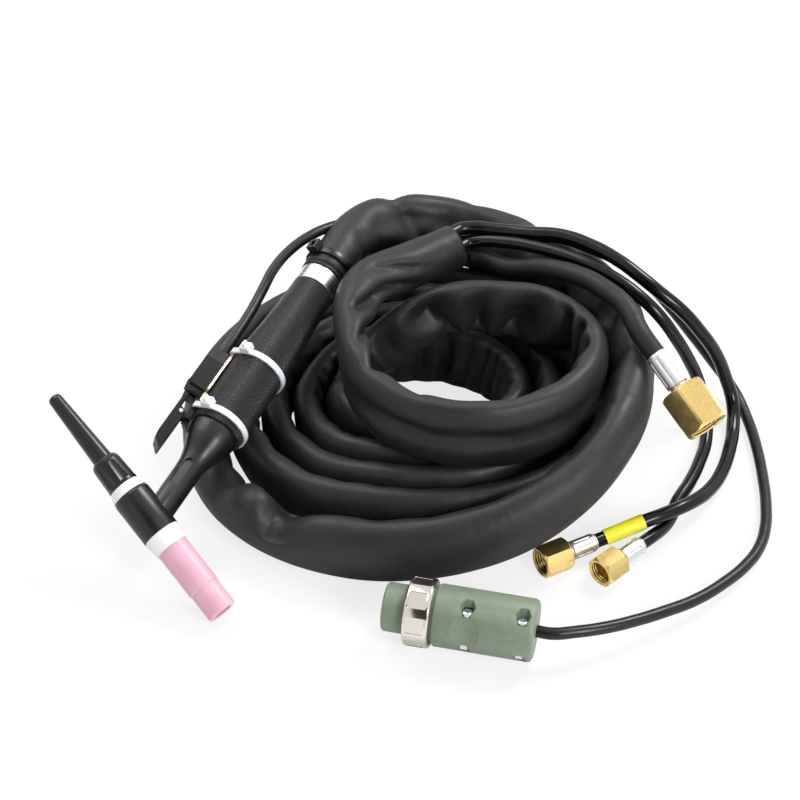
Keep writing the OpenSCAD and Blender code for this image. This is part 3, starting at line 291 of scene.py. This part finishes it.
# cover sleeve: one padded tube wound in six laps that stand on edge; the start of its first lap is 2.8 mm
# lower than its solid and up to 5.4 mm further in, which closes most of the gap below the top loop
sleeve = {
    "centre": (121.7, 42.2), "loopCentre": (151.2, 30.2), "firstRadius": 125.5, "wider": 12, "step": 19,
    "halfThick": 8.8, "halfHigh": 22, "top": 66.8, "over": 62.8, "loopX": 67, "loopY": 63,
    "mouth": (13, 14), "start": 194.1, "startRadius": 14, "firstTurn": 1 / 24, "lastTurn": 140 / 24,
    "ringsPerLap": 230, "sides": 48, "wall": 1.8, "lining": 24, "liningRings": 12,
}
ends = {  # handle to first lap, top loop to mouth: lengths in millimetres, counts of rings, parts of a lap
    "straight": 30, "straightRings": 12, "handlePull": 54, "lapPull": 36, "bendRings": 30, "loopPull": 20,
    "mouthPull": 44, "mouthStraight": 26, "mouthBendRings": 24, "mouthStep": 2, "mouthRings": 14,
    "firstLap": -0.12, "straightLaps": 0.05, "bendLap": -0.07, "mouthLaps": 0.06, "mouthStepLaps": 0.004,
    "nudge": 0.004,
}
ramps = {  # where a change sets in along the sleeve, in laps: start, length
    "drop": (0.27, 0.28), "climb": (4.76, 0.3), "over": (4.86, 0.4), "up": (5.66, 0.2),
    "flare": (5.72, 0.27), "stand": (0.74, 0.2), "swell": (0.16, 0.2), "open": (5.68, 0.18),
    "slack": (0.3, 0.15), "shrink": (0.55, 0.1), "pastLaps": (5.3, 0.1), "shiftBack": (-0.04, 0.22),
    "shiftRight": (0.24, 0.15), "shiftFront": (0.34, 0.12), "shiftLeft": (0.76, 0.22),
}
folds = {  # depths in millimetres, counts per lap; upright is the share of a depth that goes up or down
    "lapCount": 26, "lapBuckle": 2.8, "innerBuckle": 5.5, "loopCount": 17, "loopBuckle": 11, "scallop": 2.4,
    "pinchCount": 14, "pinch": 8, "backCount": 21, "backFold": 6.5, "frontFold": 0.7, "wave": 1.6,
    "groove": 6, "droop": 4, "sag": 6, "edgeDip": 12, "edgeHump": 4, "edgeLow": 4, "upright": 0.6,
    "plainRings": 3, "rampRings": 12,
}
stretches = {  # where along the sleeve, in laps: start, length of the ramp in, end, length of the ramp out
    "topLoop": (4.86, 0.1, 5.28, 0.12), "gather": (5.52, 0.14, 5.85, 0.05),
    "atBack": (-0.06, 0.05, 0.26, 0.12), "front": (0.4, 0.1, 0.9, 0.1), "innerLaps": (3.7, 0.2, 4.9, 0.1),
    "squash": (4.68, 0.12, 5.04, 0.12), "firstSag": (-0.07, 0.05, 0.22, 0.05),
    "laterSag": (0.24, 0.06, 0.4, 0.06), "droop": (-0.07, 0.05, 0.24, 0.06),
    "groove": (5.26, 0.15, 5.62, 0.12), "afterHump": (0.632, 0.015, 0.69, 0.02),
    "blunt": (0.5, 0.5, 5.7, 0.1), "shiftBulge": (0.5, 0.12, 0.64, 0.1),
}


def ease(x):
    c = min(1.0, max(0.0, x))
    return c * c * (3 - 2 * c)


def between(t, start, rampIn, end, rampOut):
    return ease((t - start) / rampIn) * (1 - ease((t - end) / rampOut))


def after(t, name):
    # 0 before a named ramp, 1 past it
    start, length = ramps[name]
    return ease((t - start) / length)


def onStretch(t, name):
    # 1 on a named stretch of the sleeve, 0 away from it
    return between(t, *stretches[name])


def driftAt(t, s):
    # keeps the folds from standing at even steps
    return noise.noise(Vector((t * 8, s * 0.6, 1)))


def dip(t):
    # 1 where the inner laps are lower, at the front left
    f = t - math.floor(t)
    return 0 if t < 1.2 or t > 3.9 else between(f, 0.52, 0.1, 0.78, 0.12)


def lapShift(t):
    # how far the first lap lies outwards of an even spiral in millimetres, inwards where it's negative
    return (-3 - 10 * after(t, "shiftBack") + 13 * after(t, "shiftRight") + 4 * after(t, "shiftFront")
            + 5 * onStretch(t, "shiftBulge") - 4 * after(t, "shiftLeft"))


def sleeveHalf(t):
    # half the thickness and half the height: the first lap is thicker and lower than the ones that follow
    stand = after(t, "stand")
    squash = onStretch(t, "squash")
    opening = after(t, "open")
    flop = 18 + 2 * after(t, "slack") - 4.5 * after(t, "shrink")
    a = 12 + (sleeve["halfThick"] - 12) * stand + after(t, "swell") * (1 - stand)
    b = flop * (1 - stand) + (sleeve["halfHigh"] - 3.5 * dip(t)) * stand - 5 * squash
    return Vector((a + (sleeve["mouth"][0] - a) * opening, b + (sleeve["mouth"][1] - b) * opening))


def sleevePoint(t):
    # centre line: inwards lap by lap, then up onto the laps and round a wider top loop
    drop = after(t, "drop")
    climb = after(t, "climb")
    over = after(t, "over")
    up = after(t, "up")
    r = sleeve["firstRadius"] - sleeve["step"] * t + lapShift(t)
    flare = 24 * after(t, "flare")
    rx = (r + sleeve["wider"]) * (1 - over) + sleeve["loopX"] * over + flare
    ry = r * (1 - over) + sleeve["loopY"] * over + flare
    x = sleeve["centre"][0] * (1 - over) + sleeve["loopCentre"][0] * over
    y = sleeve["centre"][1] * (1 - over) + sleeve["loopCentre"][1] * over
    lying = sleeve["over"] + (sleeveHalf(t)[1] - sleeve["over"]) * drop
    angle = math.radians(90 - 360 * t)
    return Vector((x + rx * math.cos(angle), y + ry * math.sin(angle),
                   lying * (1 - climb) + (sleeve["top"] + 17 * up) * climb))


def bow(a, b, c, d, u):
    # a point on the curve from a to d that b and c pull
    return (1 - u) ** 3 * a + 3 * (1 - u) ** 2 * u * b + 3 * (1 - u) * u * u * c + u ** 3 * d


def sleeveRings():
    # centre, half sizes and lap count of every ring, from the handle to the open mouth
    t0, t1 = sleeve["firstTurn"], sleeve["lastTurn"]
    handleWay = torchPlace.to_3x3() @ Vector((1, 0, 0))
    start = (torchPlace @ Vector((sleeve["start"] * mm, 0, 0))) / mm
    nudge = ends["nudge"]
    lapFrom, lapWay = sleevePoint(t0), (sleevePoint(t0 + nudge) - sleevePoint(t0 - nudge)).normalized()
    loopTo, loopWay = sleevePoint(t1), (sleevePoint(t1 + nudge) - sleevePoint(t1 - nudge)).normalized()
    startHalf = Vector((sleeve["startRadius"],) * 2)
    mouthHalf = Vector(sleeve["mouth"])
    found = []
    for i in range(ends["straightRings"] + 1):
        at = start + handleWay * ends["straight"] * i / ends["straightRings"]
        found.append((at, startHalf, ends["firstLap"] + ends["straightLaps"] * i / ends["straightRings"]))
    for i in range(1, ends["bendRings"]):
        u = i / ends["bendRings"]
        at = bow(start + handleWay * ends["straight"], start + handleWay * ends["handlePull"],
                 lapFrom - lapWay * ends["lapPull"], lapFrom, u)
        t = ends["bendLap"] + (t0 - ends["bendLap"]) * u
        found.append((at, startHalf.lerp(sleeveHalf(t0), ease(u)), t))
    count = int(sleeve["ringsPerLap"] * (t1 - t0))
    for i in range(count + 1):
        t = t0 + (t1 - t0) * i / count
        found.append((sleevePoint(t), sleeveHalf(t), t))
    for i in range(1, ends["mouthBendRings"]):
        u = i / ends["mouthBendRings"]
        at = bow(loopTo, loopTo + loopWay * ends["loopPull"], mouthAt - mouthWay * ends["mouthPull"],
                 mouthAt - mouthWay * ends["mouthStraight"], u)
        found.append((at, sleeveHalf(t1).lerp(mouthHalf, u), t1 + ends["mouthLaps"] * u))
    for i in range(ends["mouthRings"]):
        at = mouthAt - mouthWay * (ends["mouthStraight"] - ends["mouthStep"] * i)
        found.append((at, mouthHalf, t1 + ends["mouthLaps"] + ends["mouthStepLaps"] * i))
    return found


def sleeveFold(t, c, s):
    # how far the cover stands out in millimetres; c is 1 on the inside of the bend, s is 1 at the top edge
    inside, outside = ease(c), ease(-c)
    topLoop = onStretch(t, "topLoop")
    gather = onStretch(t, "gather")
    atBack = onStretch(t, "atBack")
    front = onStretch(t, "front")
    drift = driftAt(t, s)
    # uneven sets how strong a fold is; soft and slow are small and large swellings
    uneven = 0.85 + 0.9 * noise.noise(Vector((t * 15, s * 0.6, 7)))
    soft = noise.noise(Vector((t * 21, s * 0.9 + 3, c * 0.8)))
    slow = noise.noise(Vector((t * 12, s * 0.8, c * 1.1 + 9)))
    lap = 1 - abs(math.sin(math.pi * (t * folds["lapCount"] + 0.8 * drift + 0.15 * s)))
    loop = 1 - abs(math.sin(math.pi * (t * folds["loopCount"] + 0.7 * drift + 0.1 * s)))
    slant = 1 - abs(math.sin(math.pi * (t * folds["pinchCount"] + 0.8 * s + 0.5 * drift)))
    across = 1 - abs(math.sin(math.pi * (t * folds["backCount"] + 0.45 * s + 0.9 * drift)))
    buckle = folds["lapBuckle"] + (folds["innerBuckle"] - folds["lapBuckle"]) * onStretch(t, "innerLaps")
    plain = (1 - topLoop) * (1 - gather) * (1 - atBack) * (1 - after(t, "pastLaps"))
    depth = -buckle * uneven * lap * inside * plain
    depth -= folds["loopBuckle"] * uneven * loop ** 0.8 * ease(c * 1.3) * topLoop
    depth -= folds["pinch"] * slant ** 1.2 * gather * ease(c + 0.5)
    back = (0.6 * soft - uneven * across ** 1.4) * ease(0.75 + 0.5 * c + 0.3 * s)
    depth += folds["backFold"] * atBack * back
    depth += folds["frontFold"] * front * slow
    depth += folds["wave"] * (1 - front) * (1 - atBack) * (0.6 * slow + 0.6 * soft)
    sagging = inside * (1 - ease((s - 0.1) / 0.5))
    depth += folds["sag"] * sagging * (onStretch(t, "firstSag") + 0.5 * onStretch(t, "laterSag"))
    roll = math.exp(-((s - 0.05) / 0.16) ** 2) * outside
    return depth - folds["groove"] * roll * onStretch(t, "groove") * (0.75 + slow)


def sleeveEdge(t, c, s):
    # how far the top and bottom edges rise in millimetres: scallops, the outer lap's dip and hump, its droop
    topLoop = onStretch(t, "topLoop")
    drift = driftAt(t, s)
    loop = abs(math.sin(math.pi * (t * folds["loopCount"] + 0.7 * drift)))
    rise = -folds["scallop"] * (loop - 0.4) * topLoop * ease(-s * 1.4) * ease(c + 0.6)
    rise += folds["droop"] * onStretch(t, "droop") * (0.9 * ease(s) - ease(-s))
    dipWidth = 0.022 if t < 0.6 else 0.007
    notch = -folds["edgeDip"] * math.exp(-((t - 0.6) / dipWidth) ** 2)
    notch += folds["edgeHump"] * math.exp(-((t - 0.621) / 0.015) ** 2)
    notch -= folds["edgeLow"] * onStretch(t, "afterHump")
    return rise + notch * ease(s * 1.2)


# coated neoprene cover: charcoal, matt, with a soft sheen on its folds and a fine leather grain
neoprene = newMaterial("coated neoprene cover", "222123", 0.5, Specular_IOR_Level=0.34)
where = objectPlace(neoprene)
addGrain(neoprene, where, 0.03, gloss=(0.42, 0.56), tints=("201f21", "252426"))
addGrain(neoprene, where, 0.0008, depth=0.00005, detail=4)
addGrain(neoprene, where, 0.009, depth=0.0005, detail=2)

rings = sleeveRings()
ways = []
for i in range(len(rings)):
    ahead, behind = rings[min(i + 1, len(rings) - 1)][0], rings[max(i - 1, 0)][0]
    ways.append((ahead - behind).normalized())
outer = len(rings)
inner = Vector((sleeve["wall"],) * 2)
for i in range(sleeve["liningRings"] + 1):  # the lining goes back in from the mouth's rim
    at = mouthAt - mouthWay * (sleeve["lining"] * i / sleeve["liningRings"])
    rings.append((at, Vector(sleeve["mouth"]) - inner, rings[-1][2]))
    ways.append(mouthWay)
mesh = bmesh.new()
mesh.loops.layers.uv.new("around")
bmesh.ops.create_grid(mesh, x_segments=len(rings) - 1, y_segments=sleeve["sides"], size=0.5, calc_uvs=True)
for vertex in mesh.verts:
    i = round((vertex.co.x + 0.5) * (len(rings) - 1))
    k = round((vertex.co.y + 0.5) * sleeve["sides"])
    at, half, t = rings[i]
    side = ways[i].cross(Vector((0, 0, 1))).normalized()
    up = side.cross(ways[i])
    angle = 2 * math.pi * k / sleeve["sides"]
    c, s = math.cos(angle), math.sin(angle)
    blunt = 2 + 0.5 * onStretch(t, "blunt")
    x = half[0] * math.copysign(abs(c) ** (2 / blunt), c)
    y = half[1] * math.copysign(abs(s) ** (2 / blunt), s)
    smooth = ease((i - folds["plainRings"]) / folds["rampRings"])
    smooth *= ease((outer - folds["plainRings"] - i) / folds["rampRings"])
    depth = sleeveFold(t, c, s) * smooth
    lifted = sleeveEdge(t, c, s)
    vertex.co = (at + side * (x + depth * c) + up * (y + depth * s * folds["upright"] + lifted)) * mm
bmesh.ops.remove_doubles(mesh, verts=mesh.verts, dist=1e-6)
bmesh.ops.holes_fill(mesh, edges=[edge for edge in mesh.edges if edge.is_boundary], sides=0)
bmesh.ops.recalc_face_normals(mesh, faces=mesh.faces)
sleevePiece = newPiece("coverSleeve", mesh, neoprene)
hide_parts("cover_sleeve")

# fired pink alumina: even pastel body, eggshell sheen, pores under half a millimetre
alumina = newMaterial("fired pink alumina", "e3afc0", 0.4, Subsurface_Weight=0.08, Subsurface_Scale=0.001)
where = objectPlace(alumina)
addGrain(alumina, where, 0.009, gloss=(0.34, 0.46), tints=("e1acbd", "e6b3c4"))
addGrain(alumina, where, 0.0004, depth=0.000012)

# turned PTFE: white, waxy, faintly translucent
ptfe = newMaterial("turned PTFE", "f8f8f7", 0.38, Subsurface_Weight=0.2, Subsurface_Scale=0.002)
addGrain(ptfe, objectPlace(ptfe), 0.002, gloss=(0.3, 0.44), depth=0.00001)

# compression moulded phenolic: black with a satin skin and a faint orange peel
phenolic = newMaterial("moulded phenolic", "151416", 0.33, Specular_IOR_Level=0.45)
where = objectPlace(phenolic)
addGrain(phenolic, where, 0.008, gloss=(0.29, 0.37))
addGrain(phenolic, where, 0.0014, depth=0.00003)

# smoother moulding of the back cap, the microswitch and the black tie: a soft long highlight
glossBlack = newMaterial("polished black moulding", "0a0a0b", 0.28, Specular_IOR_Level=0.45)
addGrain(glossBlack, objectPlace(glossBlack), 0.005, gloss=(0.24, 0.32))

# moulded nylon of the switch: near black, with little shine on its flat faces
switchNylon = newMaterial("moulded switch nylon", "0d0d0e", 0.4, Specular_IOR_Level=0.2)
addGrain(switchNylon, objectPlace(switchNylon), 0.004, gloss=(0.34, 0.46))
addGrain(switchNylon, objectPlace(switchNylon), 0.0006, depth=0.00001)

# grip of glass filled nylon: moulded diamond knurl of 1.7 mm pitch, with painted shade in its valleys and a
# painted highlight on its points
knurl = {"pitch": 1.7, "depth": 0.9, "valley": "0b0b0c", "point": "37373a", "radius": 15.5, "bandFrom": 50}
nylonGrip = newMaterial("knurled nylon grip", "161617", 0.36, Specular_IOR_Level=0.5)
where = objectPlace(nylonGrip, torchPlace)
addGrain(nylonGrip, where, 0.004, gloss=(0.3, 0.46))
apart = addNode(nylonGrip, "ShaderNodeSeparateXYZ", {}, {"Vector": where}).outputs
around = addNode(nylonGrip, "ShaderNodeMath", {"operation": "ARCTAN2"},
                 {0: apart["Z"], 1: apart["Y"]}).outputs[0]
along = addNode(nylonGrip, "ShaderNodeMath", {"operation": "MULTIPLY", 1: 1 / (knurl["pitch"] * mm)},
                {0: apart["X"]}).outputs[0]
turns = round(2 * math.pi * knurl["radius"] / knurl["pitch"])
across = addNode(nylonGrip, "ShaderNodeMath", {"operation": "MULTIPLY", 1: turns / (2 * math.pi)},
                 {0: around}).outputs[0]
teeth = []
for turn in ("ADD", "SUBTRACT"):
    lines = addNode(nylonGrip, "ShaderNodeMath", {"operation": turn}, {0: along, 1: across}).outputs[0]
    tooth = addNode(nylonGrip, "ShaderNodeMath", {"operation": "PINGPONG", 1: 0.5}, {0: lines})
    teeth.append(tooth.outputs[0])
points = addNode(nylonGrip, "ShaderNodeMath", {"operation": "MINIMUM"}, {0: teeth[0], 1: teeth[1]}).outputs[0]
past = addNode(nylonGrip, "ShaderNodeMath", {"operation": "GREATER_THAN", 1: knurl["bandFrom"] * mm},
               {0: apart["X"]}).outputs[0]
points = addNode(nylonGrip, "ShaderNodeMath", {"operation": "MULTIPLY"}, {0: points, 1: past}).outputs[0]
lift(nylonGrip, points, knurl["depth"] * mm)
# painted shade and highlight: the knurl's valleys take the dark colour and its points the pale one
knurlShadeAndHighlight = addNode(nylonGrip, "ShaderNodeValToRGB", {}, {"Fac": points})
for element, at, colour in zip(knurlShadeAndHighlight.color_ramp.elements, (0.05, 0.5), (knurl["valley"], knurl["point"])):
    element.position = at
    element.color = linear(colour)
gripShader = nylonGrip.node_tree.nodes["Principled BSDF"]
nylonGrip.node_tree.links.new(knurlShadeAndHighlight.outputs["Color"], gripShader.inputs["Base Color"])

# turned aluminium: bright, with the tool's fine rings
aluminium = newMaterial("turned aluminium", "d4d5d8", 0.26, 1.0)
where = objectPlace(aluminium, torchPlace, (1, 0.03, 0.03))
addGrain(aluminium, where, 0.0004, gloss=(0.2, 0.34), depth=0.00001)


def crimpedAluminium(key):
    # swaged ferrules: duller than the turned metal, with a gloss that differs in patches of four millimetres
    metal = newMaterial("crimped aluminium " + key, "dcdde0", 0.42, 1.0)
    own = objectPlace(metal, unionPlace[key])
    addGrain(metal, own, 0.004, gloss=(0.38, 0.46))
    return metal


unionThread = {"pitch": 1.5, "reach": 0.12, "height": 1.4}  # millimetres; reach is how far past the bore


def unionBrass(key, boreRadius, rough, speckle):
    # machined brass whose bore shows the crests of its thread
    metal = newMaterial("machined brass " + key, "efd28a", rough, 1.0)
    own = objectPlace(metal, unionPlace[key])
    addGrain(metal, own, 0.005, gloss=(rough - 0.03, rough + 0.04))
    if speckle:
        addGrain(metal, own, 0.0007, tints=("dcbb72", "ecd08c"), depth=speckle)
    apart = addNode(metal, "ShaderNodeSeparateXYZ", {}, {"Vector": own}).outputs
    flat = addNode(metal, "ShaderNodeVectorMath", {"operation": "MULTIPLY", 1: (1, 1, 0)},
                   {0: own}).outputs[0]
    radius = addNode(metal, "ShaderNodeVectorMath", {"operation": "LENGTH"}, {0: flat}).outputs["Value"]
    bore = (boreRadius + unionThread["reach"]) * mm
    inBore = addNode(metal, "ShaderNodeMath", {"operation": "LESS_THAN", 1: bore}, {0: radius}).outputs[0]
    rows = addNode(metal, "ShaderNodeMath", {"operation": "MULTIPLY", 1: 1 / (unionThread["pitch"] * mm)},
                   {0: apart["Z"]}).outputs[0]
    crest = addNode(metal, "ShaderNodeMath", {"operation": "PINGPONG", 1: 0.5}, {0: rows}).outputs[0]
    thread = addNode(metal, "ShaderNodeMath", {"operation": "MULTIPLY"}, {0: crest, 1: inBore}).outputs[0]
    lift(metal, thread, unionThread["height"] * mm)
    return metal


brassA = unionBrass("a", 6.6, 0.3, 0)
brassB = unionBrass("b", 6.2, 0.3, 0)
brassPower = unionBrass("power", 9.4, 0.24, 0.000015)

# plain turned brass of the head core, the cap's insert, the nipples and the plug's pins
brass = newMaterial("turned brass", "d9b665", 0.28, 1.0)
addGrain(brass, objectPlace(brass), 0.0015, gloss=(0.22, 0.36), tints=("d2ab58", "dfbe70"))

# rolled brass strip, pale and dull from its protective oil
stripBrass = newMaterial("rolled brass strip", "cfc6aa", 0.42, 1.0)
addGrain(stripBrass, objectPlace(stripBrass, torchPlace, (0.05, 1, 1)), 0.0006, gloss=(0.36, 0.48))

copper = newMaterial("drawn copper", "b8734c", 0.32, 1.0)  # soft drawn sheen
addGrain(copper, objectPlace(copper), 0.002, gloss=(0.25, 0.4))

steel = newMaterial("bright ground steel", "bcbdc0", 0.26, 1.0)  # fine even haze
addGrain(steel, objectPlace(steel), 0.001, gloss=(0.18, 0.34))

zinc = newMaterial("zinc plated steel", "cbced3", 0.3, 1.0)  # bluish bright plating with tiny blisters
addGrain(zinc, objectPlace(zinc), 0.0008, gloss=(0.2, 0.4), depth=0.00002)

nickel = newMaterial("nickel plated brass", "d8d2c8", 0.12, 1.0)  # warm mirror plating, slightly uneven
addGrain(nickel, objectPlace(nickel), 0.001, gloss=(0.08, 0.2))

# natural nylon of the cable ties: milky, glossy and translucent
nylon = newMaterial("natural nylon tie", "f1f3f7", 0.28, Subsurface_Weight=0.5, Subsurface_Scale=0.003)
addGrain(nylon, objectPlace(nylon), 0.0015, gloss=(0.22, 0.34), depth=0.00002)

# glass filled nylon of the plug: grey-green, eggshell, with a fine sparked texture
plugNylon = newMaterial("moulded green nylon", "75826e", 0.46)
where = objectPlace(plugNylon)
addGrain(plugNylon, where, 0.004, gloss=(0.4, 0.56), tints=("727f6b", "788571"))
addGrain(plugNylon, where, 0.0005, depth=0.00004)

# shrunk polyolefin tube: clear strong yellow, slightly rippled over the hose
shrinkYellow = newMaterial("yellow shrink tube", "fff83a", 0.34)
addGrain(shrinkYellow, objectPlace(shrinkYellow), 0.003, gloss=(0.28, 0.42), depth=0.0001)

silicone = newMaterial("red silicone ring", "8c2a1c", 0.45)  # satin skin
addGrain(silicone, objectPlace(silicone), 0.001, gloss=(0.4, 0.5))

finishes = {  # each CAD node's finish, and how far its hard edges are eased in millimetres
    "nozzle": (alumina, 0), "front_gasket": (ptfe, 0), "rear_gasket": (ptfe, 0),
    "head_shell": (phenolic, 0.25), "head_core": (brass, 0), "power_tube": (copper, 0),
    "water_tube": (copper, 0), "gas_tube": (copper, 0), "collet_body": (copper, 0), "collet": (copper, 0),
    "cap_insert": (brass, 0), "cap_o_ring": (silicone, 0), "back_cap": (glossBlack, 0),
    "grip": (nylonGrip, 0), "collar": (aluminium, 0), "collar_ring": (rubberSheath, 0),
    "inner_power_hose": (hoseJacket, 0), "inner_water_hose": (hoseJacket, 0),
    "inner_gas_hose": (hoseJacket, 0), "switch_base_plate": (stripBrass, 0),
    "switch_bracket": (switchNylon, 0.2), "switch_housing": (switchNylon, 0.3),
    "micro_switch": (glossBlack, 0), "switch_plunger": (steel, 0), "switch_lever": (switchNylon, 0.3),
    "lever_pin": (steel, 0), "front_tie": (nylon, 0.15), "rear_tie": (nylon, 0.15),
    "sleeve_tie": (glossBlack, 0.2), "marker_band": (shrinkYellow, 0),
    "ferrule_a": (crimpedAluminium("a"), 0), "ferrule_b": (crimpedAluminium("b"), 0),
    "power_ferrule": (crimpedAluminium("power"), 0), "nipple_a": (brass, 0), "nipple_b": (brass, 0),
    "power_nipple": (brass, 0), "nut_a": (brassA, 0.2), "nut_b": (brassB, 0.2),
    "power_nut": (brassPower, 0.3), "plug_nose": (plugNylon, 0.2), "plug_insert": (phenolic, 0),
    "plug_pins": (brass, 0), "coupling_ring": (nickel, 0.2), "plug_lower_shell": (plugNylon, 0.25),
    "plug_upper_shell": (plugNylon, 0.25), "plug_screws": (zinc, 0.1), "plug_nuts": (zinc, 0.1),
    "plug_cord_clamp": (steel, 0),
}
for name, (material, edge) in finishes.items():
    dress(name, material, edge)
print("nodes dressed")

# studio: pale floor, white surround, soft lamps
studio = {"world": 0.4, "floor": "f4f4f4", "floorGlow": 0.78, "aim": (0.11, 0.05, 0.03), "lamps": [
    {"at": (-0.45, 0.6, 1.1), "size": 0.9, "watts": 9.0},
    {"at": (0.75, 0.5, 1.0), "size": 0.4, "watts": 10.0},
    {"at": (0.75, -0.8, 0.65), "size": 0.34, "watts": 7.5}],
    "flag": {"at": (0.11, -1.75, 1.6), "wide": 1.9, "high": 1.7}}

world = bpy.data.worlds.new("studio")
bpy.context.scene.world = world
world.use_nodes = True
path = addNode(world, "ShaderNodeLightPath", {}, {}).outputs
seen = addNode(world, "ShaderNodeMath", {"operation": "MAXIMUM"},
               {0: path["Is Camera Ray"], 1: path["Is Transmission Ray"]}).outputs[0]
seen = addNode(world, "ShaderNodeMath", {"operation": "MAXIMUM"},
               {0: seen, 1: path["Is Glossy Ray"]}).outputs[0]
level = addNode(world, "ShaderNodeMapRange", {"To Min": studio["world"], "To Max": 1.0}, {"Value": seen})
surround = world.node_tree.nodes["Background"]
surround.inputs["Color"].default_value = (1, 1, 1, 1)
world.node_tree.links.new(level.outputs["Result"], surround.inputs["Strength"])

# painted board floor: matt white; the camera sees mostly its plain glow, so only deeper shadows show
mesh = bmesh.new()
bmesh.ops.create_grid(mesh, x_segments=1, y_segments=1, size=6)
board = newMaterial("matt white board", studio["floor"], 0.6)
glow = addNode(board, "ShaderNodeEmission", {"Color": (1, 1, 1, 1), "Strength": 1.0}, {}).outputs[0]
share = addNode(board, "ShaderNodeMath", {"operation": "MULTIPLY", 1: studio["floorGlow"]},
                {0: addNode(board, "ShaderNodeLightPath", {}, {}).outputs["Is Camera Ray"]}).outputs[0]
paint = board.node_tree.nodes["Principled BSDF"].outputs[0]
mixed = addNode(board, "ShaderNodeMixShader", {}, {0: share, 1: paint, 2: glow}).outputs[0]
board.node_tree.links.new(mixed, board.node_tree.nodes["Material Output"].inputs["Surface"])
floorData = bpy.data.meshes.new("floor")
mesh.to_mesh(floorData)
mesh.free()
floorData.materials.append(board)
floor = bpy.data.objects.new("floor", floorData)
bpy.context.scene.collection.objects.link(floor)

for lamp in studio["lamps"]:
    lampData = bpy.data.lights.new("softbox", "AREA")
    lampData.size = lamp["size"]
    lampData.energy = lamp["watts"]
    softbox = bpy.data.objects.new("softbox", lampData)
    softbox.location = lamp["at"]
    towards = Vector(studio["aim"]) - Vector(lamp["at"])
    softbox.rotation_euler = towards.to_track_quat("-Z", "Y").to_euler()
    bpy.context.scene.collection.objects.link(softbox)

# grey felt flag behind the camera: only reflections meet it, so polished metal has its dark streaks
felt = newMaterial("grey felt", "3c3c3c", 0.9)
mesh = bmesh.new()
bmesh.ops.create_grid(mesh, x_segments=1, y_segments=1, size=0.5)
flag = studio["flag"]
facing = (Vector(studio["aim"]) - Vector(flag["at"])).to_track_quat("-Z", "Y").to_matrix().to_4x4()
shape = Matrix.Diagonal((flag["wide"], flag["high"], 1, 1))
bmesh.ops.transform(mesh, matrix=Matrix.Translation(flag["at"]) @ facing @ shape, verts=mesh.verts)
flagData = bpy.data.meshes.new("flag")
mesh.to_mesh(flagData)
mesh.free()
flagData.materials.append(felt)
card = bpy.data.objects.new("flag", flagData)
bpy.context.scene.collection.objects.link(card)
card.visible_camera = card.visible_diffuse = card.visible_shadow = card.visible_transmission = False

print("scene ready")
